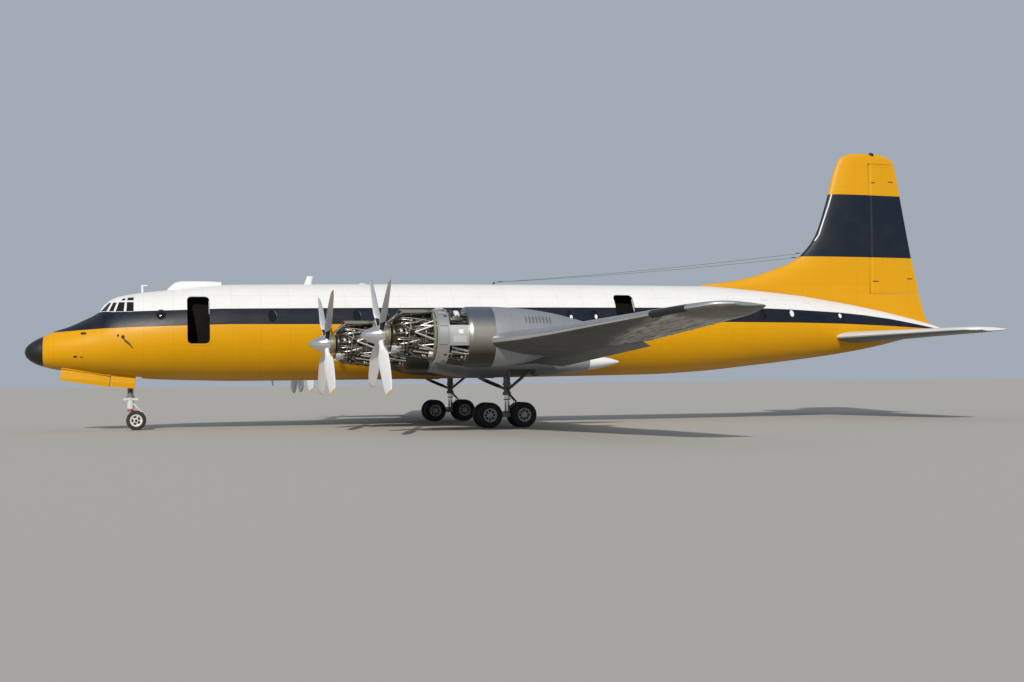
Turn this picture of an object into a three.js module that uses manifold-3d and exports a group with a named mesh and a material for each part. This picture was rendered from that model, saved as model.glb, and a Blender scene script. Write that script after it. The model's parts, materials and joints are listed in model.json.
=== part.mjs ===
// Half-size model of a four-engined turboprop transport aeroplane, parked on its wheels, engines uncowled.
// Frame: +X to the nose, +Y to port, +Z up, millimetres. The origin is on the ground, in the middle.
// Every size below is a real size in metres. Stations count aft from the nose tip, spans out to port.
import * as THREE from 'three';
import { mergeVertices } from 'three/addons/utils/BufferGeometryUtils.js';
import Module from 'manifold-3d';

const wasm = await Module();
wasm.setup();

// Driving dimensions
const METRE = 500;              // one real metre, in millimetres of this half-size model
const LENGTH = 37.88;
const GAP = 0.0007;             // seam between touching pieces
const RUNNING_GAP = 0.014;      // clearance beside a hinged surface
const END_GAP = 0.030;          // clearance beyond the ends of the surfaces behind the wing
const HINGE_PIN = 0.03;
const PIN_SIDES = 8;
const EDGE = 0.004;             // half the thickness of a sharp trailing edge

// Station, top, widest height, bottom and half width of the fuselage
const FUSELAGE = [
  [0.66, 3.48, 2.925, 2.37, 0.555],
  [1.00, 3.65, 2.96, 2.28, 0.72],
  [1.50, 3.82, 3.00, 2.20, 0.90],
  [2.05, 4.07, 3.06, 2.12, 1.07],
  [2.60, 4.38, 3.12, 2.05, 1.22],
  [2.82, 4.66, 3.15, 2.03, 1.28],
  [3.02, 4.84, 3.18, 2.01, 1.33],
  [3.38, 4.98, 3.23, 1.98, 1.41],
  [4.05, 5.10, 3.33, 1.92, 1.54],
  [5.05, 5.22, 3.43, 1.86, 1.70],
  [6.30, 5.37, 3.53, 1.82, 1.80],
  [7.60, 5.45, 3.58, 1.79, 1.83],
  [24.0, 5.56, 3.73, 1.90, 1.83],
  [26.5, 5.56, 3.77, 2.02, 1.77],
  [28.5, 5.46, 3.80, 2.21, 1.62],
  [30.5, 5.27, 3.82, 2.42, 1.38],
  [32.5, 5.00, 3.84, 2.66, 1.08],
  [34.5, 4.66, 3.84, 2.98, 0.76],
  [36.3, 4.27, 3.83, 3.38, 0.42],
  [37.5, 3.97, 3.82, 3.68, 0.16],
  [37.88, 3.86, 3.80, 3.74, 0.06],
];
const FUSELAGE_SIDES = 24;

// Station and radius of the black nose cap
const RADOME = [[0.0, 0.06], [0.04, 0.14], [0.14, 0.27], [0.30, 0.39], [0.48, 0.485], [0.66, 0.555]];
const NOSE_TIP_Z = 2.90;

// Span, leading and trailing edge stations, their heights and thickness over chord, of the wing
const WING = [
  [0.90, 12.80, 18.745, 2.60, 2.24, 0.185],
  [14.10, 15.67, 18.97, 3.09, 2.88, 0.182],
  [20.60, 17.08, 19.08, 3.445, 3.30, 0.162],
  [21.30, 17.40, 19.08, 3.495, 3.40, 0.150],
  [21.58, 17.75, 19.08, 3.53, 3.475, 0.130],
  [21.68, 18.20, 18.98, 3.535, 3.50, 0.110],
];
const FLAP_HINGE = 0.78;        // share of the chord ahead of the hinge line
const FLAP_DROOP = 15;          // degrees that the flaps hang down at rest
const AILERON_HINGE = 0.75;
// Name, inner end, outer end, hinge share and droop of the surfaces behind the wing
const WING_SURFACES = [
  ['flap_inner', 2.00, 3.78, FLAP_HINGE, FLAP_DROOP],
  ['flap_outer', 5.68, 14.05, FLAP_HINGE, FLAP_DROOP],
  ['aileron', 14.20, 20.60, AILERON_HINGE, 0],
];

// The same columns for the tailplane
const TAILPLANE = [
  [0.20, 32.18, 36.23, 3.40, 3.40, 0.12],
  [7.90, 33.53, 35.49, 3.44, 3.44, 0.11],
  [8.32, 33.75, 35.41, 3.44, 3.44, 0.11],
  [8.50, 34.18, 35.25, 3.44, 3.44, 0.11],
];
const ELEVATOR = { inner: 0.86, outer: 7.90, station: 34.75, z: 3.42 };

// Height, leading and trailing edge stations and thickness of the fin with its dorsal fillet
const FIN = [
  [3.90, 26.60, 37.76, 0.30],
  [4.02, 26.60, 37.44, 0.31],
  [4.14, 26.60, 37.28, 0.32],
  [4.40, 26.60, 37.15, 0.35],
  [5.00, 26.60, 36.98, 0.42],
  [5.60, 26.60, 36.84, 0.46],
  [5.74, 27.80, 36.81, 0.46],
  [5.95, 28.85, 36.76, 0.46],
  [6.30, 29.95, 36.68, 0.46],
  [6.65, 30.85, 36.61, 0.46],
  [7.05, 31.38, 36.52, 0.45],
  [7.80, 31.95, 36.38, 0.44],
  [9.10, 32.44, 36.13, 0.39],
  [10.93, 33.03, 35.79, 0.30],
  [11.20, 33.22, 35.56, 0.26],
  [11.36, 33.70, 35.05, 0.18],
];
const RUDDER = { bottom: 5.33, top: 10.93, station: 34.62 };
const BEACON = { station: 34.68, radius: 0.12, height: 0.09 };

// Engines: span, station of the propeller disc, height of the shaft, turn of the blades
const ENGINES = [
  { name: 'port_outer', span: 10.0, disc: 11.40, z: 3.17, phase: 49 },
  { name: 'port_inner', span: 4.725, disc: 10.38, z: 3.05, phase: 44 },
];
const BLADES = 4;
// Distance aft of the disc and radius of the spinner and of the hub ring behind it
const SPINNER = [[-0.62, 0.03], [-0.56, 0.09], [-0.38, 0.19], [-0.18, 0.27], [0.02, 0.325], [0.30, 0.335]];
// Radius, chord, pitch from the disc plane in degrees and thickness of a blade
const BLADE = [
  [0.20, 0.20, 52, 0.19],
  [0.62, 0.22, 48, 0.15],
  [0.80, 0.40, 44, 0.09],
  [1.40, 0.45, 36, 0.06],
  [2.10, 0.40, 30, 0.04],
  [2.38, 0.28, 28, 0.03],
  [2.44, 0.10, 28, 0.02],
];
// Distance aft of the disc and radius of the bare engine's casings
const ENGINE_CORE = [
  [0.35, 0.34], [0.50, 0.44], [0.88, 0.50], [1.02, 0.50], [1.06, 0.40], [1.50, 0.36], [1.64, 0.46],
];
const SHAFT_RADIUS = 0.12;
// First and last distance aft of the disc, and the inner and outer radius of the hoops around the engine
const HOOPS = [[1.19, 1.25, 0.57, 0.66], [1.57, 1.64, 0.57, 0.70]];
const CANS = { count: 7, front: 1.08, back: 1.60, reach: 0.50, radius: 0.10, sides: 6 };
// Angle of each pipe that runs along the engine, and its stops: distance aft and radius
const PIPE_ANGLES = [65, 100, 195];
const PIPE_PATH = [[0.50, 0.42], [0.66, 0.61], [1.58, 0.67]];
const PIPE_RADIUS = 0.032;
const STRUT_ANGLES = [30, 105, 150, 210, 330];
const STRUT_RADIUS = 0.028;
const COWL_RING = { front: 1.69, back: 2.08, outer: 0.86, inner: 0.79, drop: 0.03 };
const SIDE_PANEL = { half_angle: 22, thickness: 0.05, overlap: 0.01 };
const BARREL = { front: 2.69, radius: 0.975, drop: 0.06, shoulder: 0.25, lip: 0.06 };
// Distance aft of the disc, top and bottom over the shaft height, and half width of the nacelle's rear
const NACELLE_REAR = [
  [3.54, 0.915, -1.035, 0.975],
  [4.60, 0.86, -0.93, 0.90],
  [5.60, 0.72, -0.62, 0.74],
  [6.60, 0.48, -0.36, 0.50],
  [7.40, 0.24, -0.30, 0.34],
];
const EXHAUST = { radius: 0.22, depth: 0.45, rise: 0.04 };
// Station, top, bottom and half width of the wheel pod under an inner nacelle
const GEAR_POD = [
  [14.02, 3.00, 2.03, 0.93],
  [15.2, 3.00, 1.82, 0.92],
  [17.0, 2.80, 1.79, 0.84],
  [18.4, 2.74, 1.88, 0.71],
  [20.1, 2.62, 2.06, 0.42],
  [20.9, 2.50, 2.22, 0.20],
  [21.24, 2.40, 2.32, 0.06],
];
const MAIN_BAY = { front: 16.42, back: 18.0, half: 0.44, roof: 2.10 };
// The part of the pod's outboard side that is open beside the main bay
const SIDE_GAP = { front: 16.75, back: 17.87, inner: 0.30 };

// Landing gear: wheels, half spacing of the axles and of the twin wheels, legs
const MAIN_WHEEL = { radius: 0.46, width: 0.30, half_spread: 0.30, rim: 0.245 };
const BOGIE = { station: 16.84, half_base: 0.64, beam: 0.085 };
const MAIN_LEG = { station: 16.94, outer: 0.125, inner: 0.09, collar_z: 1.18, foot_z: 0.60 };
const NOSE_WHEEL = { radius: 0.36, width: 0.20, half_spread: 0.19, rim: 0.222, station: 3.92 };
const NOSE_LEG = { station: 3.72, outer: 0.12, inner: 0.085, split_z: 1.20, foot_z: 0.42 };
const AXLE = 0.05;
const AXLE_PLAY = 0.0004;
const AXLE_SIDES = 16;
const ROD_SIDES = 12;
const WHEEL_SIDES = 16;

const NOSE_BAY = { front: 1.29, back: 4.12, half: 0.44, roof: 2.78 };
const NOSE_DOORS = { split: 3.02, gap: 0.018, aft_end: 3.90, thickness: 0.035, swing: 84, rod: 0.03 };

// Doorways on the port side: first station and sill height
const DOORWAY = { width: 0.80, height: 1.76, corner: 0.16, depth: 1.10, wall: 0.12, leaf: 0.06, aft: 0.98 };
const DOORS = [
  { name: 'front_door', station: 5.73, sill: 3.16 },
  { name: 'rear_door', station: 22.28, sill: 3.33 },
];
const REAR_CABIN = { front: 22.17, back: 30.2, wall: 0.12 };
const GLAZING = { front: 2.50, back: 3.86, sill: 4.37, head: 4.72, thickness: 0.04 };
// Station, crown height and half width of the fairing behind the flight deck, and the height of its foot
const HUMP = [
  [5.04, 5.24, 0.12],
  [5.20, 5.40, 0.22],
  [5.38, 5.52, 0.30],
  [5.62, 5.56, 0.34],
  [6.40, 5.57, 0.34],
  [7.02, 5.545, 0.32],
];
const HUMP_FOOT = 5.0;
// Station, foot height, top height, length along the body, thickness and rake of the aerials
const AERIALS = [
  [4.12, 5.05, 5.42, 0.06, 0.05, 0.0],
  [10.12, 5.36, 5.80, 0.29, 0.05, 0.16],
  [10.66, 5.38, 5.47, 0.42, 0.25, 0.0],
  [17.70, 5.42, 5.66, 0.10, 0.10, 0.0],
  [8.88, 1.90, 1.60, 0.08, 0.05, 0.04],
  [9.91, 1.90, 1.59, 0.08, 0.05, 0.04],
];
const AERIAL_TAPER = 0.75;

// Points and solids

const rad = THREE.MathUtils.degToRad;
const X = (station) => (LENGTH / 2 - station) * METRE;
const point = (station, span, z) => new THREE.Vector3(X(station), span * METRE, z * METRE);

function toSolid(geometry) {
  const bare = geometry.clone();
  bare.deleteAttribute('normal');
  bare.deleteAttribute('uv');
  const merged = mergeVertices(bare, 1e-3);
  let index = Uint32Array.from(merged.index.array);
  const at = merged.attributes.position.array;
  let volume = 0;
  for (let i = 0; i < index.length; i += 3) {
    const [a, b, c] = [0, 1, 2].map((k) => new THREE.Vector3().fromArray(at, index[i + k] * 3));
    volume += a.dot(b.cross(c));
  }
  if (volume < 0) index = index.reverse();
  return new wasm.Manifold(new wasm.Mesh({ numProp: 3, vertProperties: at, triVerts: index }));
}

function toGeometry(solid) {
  const mesh = solid.getMesh();
  const geometry = new THREE.BufferGeometry();
  geometry.setAttribute('position', new THREE.BufferAttribute(mesh.vertProperties, 3));
  geometry.setIndex(new THREE.BufferAttribute(mesh.triVerts, 1));
  return geometry;
}

// A closed skin through rings that have the same number of points
function loft(rings) {
  const count = rings[0].length;
  const points = rings.flat();
  const faces = [];
  for (let r = 0; r + 1 < rings.length; r += 1) {
    for (let i = 0; i < count; i += 1) {
      const j = (i + 1) % count;
      const [a, b, c, d] = [r * count + i, r * count + j, (r + 1) * count + j, (r + 1) * count + i];
      faces.push(a, b, c, a, c, d);
    }
  }
  for (const [ring, first] of [[rings[0], 0], [rings.at(-1), (rings.length - 1) * count]]) {
    const middle = ring.reduce((sum, p) => sum.add(p), new THREE.Vector3()).divideScalar(count);
    const hub = points.push(middle) - 1;
    for (let i = 0; i < count; i += 1) {
      const j = (i + 1) % count;
      faces.push(...(first === 0 ? [hub, first + j, first + i] : [hub, first + i, first + j]));
    }
  }
  const geometry = new THREE.BufferGeometry().setFromPoints(points);
  geometry.setIndex(faces);
  return toSolid(geometry);
}

// A box between two opposite corners
function box(s0, s1, y0, y1, z0, z1) {
  const [a, b] = [point(s0, y0, z0), point(s1, y1, z1)];
  const size = new THREE.Vector3().subVectors(b, a);
  const geometry = new THREE.BoxGeometry(Math.abs(size.x), Math.abs(size.y), Math.abs(size.z));
  geometry.translate((a.x + b.x) / 2, (a.y + b.y) / 2, (a.z + b.z) / 2);
  return toSolid(geometry);
}

// A round bar between two points, with flat ends square to it
function rod(from, to, radius, sides = 12) {
  const along = new THREE.Vector3().subVectors(to, from);
  const geometry = new THREE.CylinderGeometry(radius * METRE, radius * METRE, along.length(), sides);
  const upright = new THREE.Vector3(0, 1, 0);
  geometry.applyQuaternion(new THREE.Quaternion().setFromUnitVectors(upright, along.clone().normalize()));
  geometry.translate((from.x + to.x) / 2, (from.y + to.y) / 2, (from.z + to.z) / 2);
  return toSolid(geometry);
}

// A pipe through points, with square ends
function pipe(points, radius, sides = 6) {
  let solid = null;
  for (let i = 0; i + 1 < points.length; i += 1) {
    const bar = rod(points[i], points[i + 1], radius, sides);
    solid = solid ? solid.add(bar) : bar;
  }
  return solid;
}

// A turned solid around the X axis: distance aft and radius, both in metres
function turned(profile, sides) {
  const outline = profile.map(([aft, radius]) => new THREE.Vector2(radius * METRE, -aft * METRE));
  const closed = [new THREE.Vector2(0, outline[0].y), ...outline, new THREE.Vector2(0, outline.at(-1).y)];
  const geometry = new THREE.LatheGeometry(closed, sides);
  geometry.rotateZ(-Math.PI / 2);
  return toSolid(geometry);
}

// A solid mirrored to the other side of the aeroplane
function mirrored(solid) {
  const geometry = toGeometry(solid);
  geometry.scale(1, -1, 1);
  const index = geometry.index.array;
  for (let i = 0; i < index.length; i += 3) [index[i], index[i + 1]] = [index[i + 1], index[i]];
  return toSolid(geometry);
}

// Fuselage

// One ring of an upper and a lower half ellipse
function bodyRing(station, span, top, widest, bottom, half, sides, grow = 0) {
  const ring = [];
  for (let i = 0; i < sides; i += 1) {
    const angle = (2 * Math.PI * (i + 0.5)) / sides;
    const rise = Math.sin(angle) > 0 ? top - widest + grow : widest - bottom + grow;
    ring.push(point(station, span + (half + grow) * Math.cos(angle), widest + rise * Math.sin(angle)));
  }
  return ring;
}

function fuselageLoft(grow = 0) {
  return loft(FUSELAGE.map(([station, top, widest, bottom, half]) => (
    bodyRing(station, 0, top, widest, bottom, half, FUSELAGE_SIDES, grow))));
}

function radome() {
  const [joint, , jointZ] = FUSELAGE[0];
  return loft(RADOME.map(([station, radius]) => {
    const middle = NOSE_TIP_Z + ((jointZ - NOSE_TIP_Z) * station) / joint;
    const at = Math.min(station, joint - GAP);
    return bodyRing(at, 0, middle + radius, middle, middle - radius, radius, FUSELAGE_SIDES);
  }));
}

function glazingZone(grow = 0) {
  const { front, back, sill, head } = GLAZING;
  return box(front, back + grow, -2, 2, sill - grow, head + grow);
}

// The upright outline of a doorway with round corners, pushed inwards from outside the skin
function doorPrism(door, aft, shrink, from, to) {
  const { width, height, corner } = DOORWAY;
  const [w, h, r] = [width - 2 * shrink, height - 2 * shrink, corner - shrink].map((v) => v * METRE);
  const shape = new THREE.Shape();
  shape.moveTo(r, 0);
  shape.lineTo(w - r, 0);
  shape.absarc(w - r, r, r, -Math.PI / 2, 0, false);
  shape.lineTo(w, h - r);
  shape.absarc(w - r, h - r, r, 0, Math.PI / 2, false);
  shape.lineTo(r, h);
  shape.absarc(r, h - r, r, Math.PI / 2, Math.PI, false);
  shape.lineTo(0, r);
  shape.absarc(r, r, r, Math.PI, 1.5 * Math.PI, false);
  const depth = (to - from) * METRE;
  const geometry = new THREE.ExtrudeGeometry(shape, { depth, bevelEnabled: false, curveSegments: 2 });
  geometry.rotateX(Math.PI / 2);
  const start = point(door.station + aft + shrink + w / METRE, to, door.sill + shrink);
  geometry.translate(start.x, start.y, start.z);
  return toSolid(geometry);
}

function doorRecess(door) {
  const { width, height, depth, wall, aft } = DOORWAY;
  const [front, back] = [door.station - 0.04, door.station + width + aft + 0.04];
  const lobby = box(front, back, 1.83 - depth, 2, door.sill - 0.03, door.sill + height + 0.03);
  const cavity = lobby.intersect(fuselageLoft(-wall));
  return cavity.add(doorPrism(door, 0, 0, 0.8, 2.2));
}

function doorLeaf(door) {
  const { wall, leaf, aft } = DOORWAY;
  const shell = fuselageLoft(-wall - GAP).subtract(fuselageLoft(-wall - GAP - leaf));
  return shell.intersect(doorPrism(door, aft, 0, 0.8, 2.2));
}

// The hollow behind the rear doorway
function rearCabin() {
  const { front, back, wall } = REAR_CABIN;
  return fuselageLoft(-wall).intersect(box(front, back, -2, 2, 1, 6));
}

// A thin upright plate with a raked back, standing on the skin
function aerial([station, foot, top, length, thickness, rake]) {
  const level = (z, shift, share) => [[0, -1], [0, 1], [1, 1], [1, -1]].map(([along, side]) => (
    point(station + shift + length * share * along, (thickness / 2) * side, z)));
  return loft([level(foot, 0, 1), level(top, rake, AERIAL_TAPER)]);
}

function noseBay(shrink = 0) {
  const { front, back, half, roof } = NOSE_BAY;
  return box(front + shrink, back - shrink, shrink - half, half - shrink, 1.0, roof - shrink);
}

function fuselage() {
  let body = fuselageLoft();
  body = body.subtract(noseBay()).subtract(hingeGrooves());
  const underGlass = fuselageLoft(-GLAZING.thickness - GAP);
  body = body.subtract(fuselageLoft(GLAZING.thickness).subtract(underGlass).intersect(glazingZone(GAP)));
  for (const door of DOORS) body = body.subtract(doorRecess(door));
  body = body.subtract(rearCabin());
  for (const row of AERIALS) body = body.add(aerial(row));
  return body;
}

function cockpitGlazing() {
  return fuselageLoft().subtract(fuselageLoft(-GLAZING.thickness)).intersect(glazingZone());
}

function dorsalHump() {
  const rings = HUMP.map(([station, crown, half]) => (
    bodyRing(station, 0, crown, HUMP_FOOT + 0.05, HUMP_FOOT, half, 12)));
  return loft(rings).subtract(fuselageLoft(GAP));
}

// Wings and tail surfaces

const AIRFOIL = [1, 0.75, 0.5, 0.28, 0.12, 0.03, 0];

// Half thickness of a symmetrical section at a share of its chord
function halfThickness(share, thickness) {
  const root = 0.2969 * Math.sqrt(share);
  const bulge = root - 0.126 * share - 0.3516 * share ** 2 + 0.2843 * share ** 3 - 0.1015 * share ** 4;
  return 5 * thickness * bulge;
}

// Chord, edges and thickness at a span, from a table of sections
function sectionAt(table, span) {
  let k = table.findIndex((row) => row[0] >= span);
  k = Math.max(1, k < 0 ? table.length - 1 : k);
  const [a, b] = [table[k - 1], table[k]];
  const t = (span - a[0]) / (b[0] - a[0]);
  const [, lead, trail, leadZ, trailZ, thickness] = a.map((v, i) => v + (b[i] - v) * t);
  return { span, lead, trail, leadZ, trailZ, thickness, chord: trail - lead };
}

function surfaceRing(section, grow) {
  const { span, lead, trail, leadZ, trailZ, thickness, chord } = section;
  const at = (share, side) => {
    const half = halfThickness(share, thickness) * chord + EDGE + grow;
    const station = lead + chord * share + (share === 1 ? grow : 0) - (share === 0 ? grow : 0);
    return point(station, span, leadZ + (trailZ - leadZ) * share + side * half);
  };
  const upper = AIRFOIL.map((share) => at(share, 1));
  const lower = AIRFOIL.toReversed().map((share) => at(share, -1));
  return [...upper, ...lower];
}

function surfaceLoft(table, grow = 0) {
  return loft(table.map((row) => surfaceRing(sectionAt(table, row[0]), grow)));
}

// The hinge point of a surface at a span, with half the thickness there
function hingeAt(table, span, share) {
  const { lead, leadZ, trailZ, thickness, chord } = sectionAt(table, span);
  return {
    station: lead + chord * share,
    z: leadZ + (trailZ - leadZ) * share,
    half: halfThickness(share, thickness) * chord + EDGE,
  };
}

const NOSE_STEPS = 6;

// A hinged surface: a round nose about the hinge line, tapering to the trailing edge
function hingedRing(span, hinge, trail, trailZ, edge = 0.005) {
  const nose = [];
  for (let i = 0; i <= NOSE_STEPS; i += 1) {
    const angle = Math.PI / 2 + (Math.PI * i) / NOSE_STEPS;
    const [ahead, up] = [hinge.half * Math.cos(angle - Math.PI), hinge.half * Math.sin(angle)];
    nose.push(point(hinge.station - ahead, span, hinge.z + up));
  }
  return [point(trail, span, trailZ + edge), ...nose, point(trail, span, trailZ - edge)];
}

function hingeLine(table, inner, outer, share) {
  const [a, b] = [hingeAt(table, inner, share), hingeAt(table, outer, share)];
  return [point(a.station, inner, a.z), point(b.station, outer, b.z)];
}

// A pin along a hinge line, whose ends stop just short of the ribs beyond the surface
function hingePin([from, to], gap = RUNNING_GAP) {
  const along = new THREE.Vector3().subVectors(to, from).normalize();
  const slope = Math.sqrt(1 - along.y ** 2);
  const reach = (gap - GAP - HINGE_PIN * slope) * METRE;
  const ends = [from.clone().addScaledVector(along, -reach), to.clone().addScaledVector(along, reach)];
  return rod(...ends, HINGE_PIN, PIN_SIDES);
}

function wingSurface([, inner, outer, share, droop]) {
  const line = hingeLine(WING, inner, outer, share);
  const axis = line[0].clone().sub(line[1]).normalize();
  const drooped = (at) => at.sub(line[0]).applyAxisAngle(axis, rad(droop)).add(line[0]);
  const rings = [inner, outer].map((span) => {
    const { trail, trailZ } = sectionAt(WING, span);
    return hingedRing(span, hingeAt(WING, span, share), trail, trailZ).map(drooped);
  });
  return loft(rings).add(hingePin(line, END_GAP));
}

// The space cleared in a fixed surface for a hinged one behind it
function hingedSpace(table, inner, outer, share) {
  const rings = [inner - END_GAP, outer + END_GAP].map((span) => {
    const hinge = hingeAt(table, span, share);
    const front = hinge.station - hinge.half - RUNNING_GAP;
    const back = sectionAt(table, span).trail + 1;
    return [[front, -1], [back, -1], [back, 1], [front, 1]].map(([s, up]) => point(s, span, hinge.z + up));
  });
  return loft(rings);
}

function wing() {
  let panel = surfaceLoft(WING);
  for (const [, inner, outer, share] of WING_SURFACES) {
    panel = panel.subtract(hingedSpace(WING, inner, outer, share));
  }
  return panel;
}

function elevatorHinge(span) {
  const { lead, trail, thickness, chord } = sectionAt(TAILPLANE, span);
  const share = (ELEVATOR.station - lead) / chord;
  return { station: ELEVATOR.station, z: ELEVATOR.z, trail, half: halfThickness(share, thickness) * chord };
}

function elevator() {
  const { inner, outer, station, z } = ELEVATOR;
  const rings = [inner, outer].map((span) => {
    const hinge = elevatorHinge(span);
    return hingedRing(span, hinge, hinge.trail, z);
  });
  const line = [point(station, inner, z), point(station, outer, z)];
  return loft(rings).add(hingePin(line));
}

function tailplane() {
  const { inner, outer, station } = ELEVATOR;
  const front = station - elevatorHinge(inner).half - RUNNING_GAP;
  const space = box(front, 40, inner - RUNNING_GAP, outer + RUNNING_GAP, 2, 5);
  return surfaceLoft(TAILPLANE).subtract(space);
}

function finRing([z, lead, trail, thickness]) {
  const chord = trail - lead;
  const ratio = thickness / chord;
  const at = (share, side) => (
    point(lead + chord * share, side * (halfThickness(share, ratio) * chord + EDGE), z));
  return [...AIRFOIL.map((share) => at(share, 1)), ...AIRFOIL.toReversed().map((share) => at(share, -1))];
}

function finValue(z, column) {
  const k = Math.max(1, FIN.findIndex((row) => row[0] >= z));
  const [a, b] = [FIN[k - 1], FIN[k]];
  return a[column] + ((b[column] - a[column]) * (z - a[0])) / (b[0] - a[0]);
}

function rudderHalf(z) {
  const [lead, trail, thickness] = [1, 2, 3].map((column) => finValue(z, column));
  const chord = trail - lead;
  return halfThickness((RUDDER.station - lead) / chord, thickness / chord) * chord + EDGE;
}

function rudder() {
  const { bottom, top, station } = RUDDER;
  const rings = [bottom, 7.05, top].map((z) => {
    const half = rudderHalf(z);
    const ring = [point(finValue(z, 2), 0.006, z)];
    for (let i = 0; i <= NOSE_STEPS; i += 1) {
      const angle = (Math.PI * i) / NOSE_STEPS;
      ring.push(point(station - half * Math.sin(angle), half * Math.cos(angle), z));
    }
    ring.push(point(finValue(z, 2), -0.006, z));
    return ring;
  });
  const reach = RUNNING_GAP - GAP;
  const pin = rod(point(station, 0, bottom - reach), point(station, 0, top + reach), HINGE_PIN, PIN_SIDES);
  return loft(rings).add(pin);
}

function fin() {
  const { bottom, top, station } = RUDDER;
  const front = station - rudderHalf(7.05) - RUNNING_GAP;
  const space = box(front, 40, -1, 1, bottom - RUNNING_GAP, top + RUNNING_GAP);
  const crown = FIN.at(-1)[0];
  const [foot, head] = [crown - 0.06, crown + BEACON.height].map((z) => point(BEACON.station, 0, z));
  const beacon = rod(foot, head, BEACON.radius);
  return loft(FIN.map(finRing)).subtract(space).subtract(fuselageLoft(GAP)).add(beacon);
}

// Engines, nacelles and propellers

// A tube about the shaft line of an engine
function tube(engine, front, back, outer, inner, drop, sides = 20) {
  const profile = [[front, inner], [front, outer], [back, outer], [back, inner], [front, inner]];
  const outline = profile.map(([aft, radius]) => new THREE.Vector2(radius * METRE, -aft * METRE));
  const geometry = new THREE.LatheGeometry(outline, sides);
  geometry.rotateZ(-Math.PI / 2);
  const at = point(engine.disc, engine.span, engine.z - drop);
  geometry.translate(at.x, at.y, at.z);
  return toSolid(geometry);
}

function wedge(engine, front, back, middle, half) {
  const reach = 1.6;
  const ring = (aft) => [[0, 0], [reach, middle - half], [reach, middle + half]].map(([r, angle]) => (
    point(engine.disc + aft, engine.span + r * Math.cos(rad(angle)), engine.z + r * Math.sin(rad(angle)))));
  return loft([ring(front), ring(back)]);
}

function nacelleRing(engine, [aft, top, bottom, half]) {
  const middle = engine.z + (top + bottom) / 2;
  return bodyRing(engine.disc + aft, engine.span, engine.z + top, middle, engine.z + bottom, half, 16);
}

function gearPod(grow = 0) {
  const { span } = ENGINES[1];
  return loft(GEAR_POD.map(([station, top, bottom, half]) => (
    bodyRing(station, span, top, (top + bottom) / 2, bottom, half, 14, grow))));
}

function mainBay(shrink = 0) {
  const { front, back, half, roof } = MAIN_BAY;
  const [inner, outer] = [ENGINES[1].span - half, ENGINES[1].span + half];
  return box(front + shrink, back - shrink, inner + shrink, outer - shrink, 1, roof - shrink);
}

function sideGap() {
  const { front, back, inner } = SIDE_GAP;
  const { span } = ENGINES[1];
  return box(front, back, span + inner, span + inner + 1, 1, MAIN_BAY.roof);
}

function nacelle(engine) {
  const { front, back, outer, inner, drop } = COWL_RING;
  const { half_angle: half, thickness, overlap } = SIDE_PANEL;
  const [panelFront, panelBack] = [back - overlap, BARREL.front + overlap];
  const sleeve = tube(engine, panelFront, panelBack, outer, outer - thickness, drop);
  let body = tube(engine, front, back, outer, inner, drop);
  for (const middle of [0, 180]) {
    body = body.add(sleeve.intersect(wedge(engine, panelFront, panelBack, middle, half)));
  }
  const { radius, lip } = BARREL;
  const [top, bottom] = [radius - BARREL.drop, -radius - BARREL.drop];
  const mouth = [BARREL.front, top - lip, bottom + lip, radius - lip];
  const shoulder = [BARREL.front + BARREL.shoulder, top, bottom, radius];
  const rings = [mouth, shoulder, ...NACELLE_REAR];
  body = body.add(loft(rings.map((row) => nacelleRing(engine, row))));
  if (engine.name.endsWith('inner')) {
    body = body.add(gearPod()).subtract(mainBay()).subtract(sideGap());
  }
  body = body.subtract(surfaceLoft(WING, GAP));
  for (const [, a, b, share] of WING_SURFACES.slice(0, 2)) {
    body = body.subtract(hingedSpaceOver(a, b, share));
  }
  const [aft, endTop, endBottom] = NACELLE_REAR.at(-1);
  const end = point(engine.disc + aft, engine.span, engine.z + (endTop + endBottom) / 2 + EXHAUST.rise);
  const inside = end.clone().add(new THREE.Vector3(EXHAUST.depth * METRE, 0, 0));
  const beyond = end.clone().add(new THREE.Vector3(-METRE, 0, 0));
  return body.subtract(rod(inside, beyond, EXHAUST.radius, 16));
}

// The room that a flap needs, up to just over its upper skin
function hingedSpaceOver(inner, outer, share) {
  const over = 0.03;
  const rings = [inner - END_GAP, outer + END_GAP].map((span) => {
    const hinge = hingeAt(WING, span, share);
    const { trail, trailZ } = sectionAt(WING, span);
    const [front, back] = [hinge.station - hinge.half - RUNNING_GAP, trail + 1];
    const [low, high] = [hinge.z - 2, hinge.z + hinge.half + RUNNING_GAP + over];
    const [shoulder, level] = [hinge.station + hinge.half, trailZ + over];
    const outline = [[front, low], [back, low], [back, level], [trail, level], [shoulder, high], [front, high]];
    return outline.map(([s, z]) => point(s, span, z));
  });
  return loft(rings);
}

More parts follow.
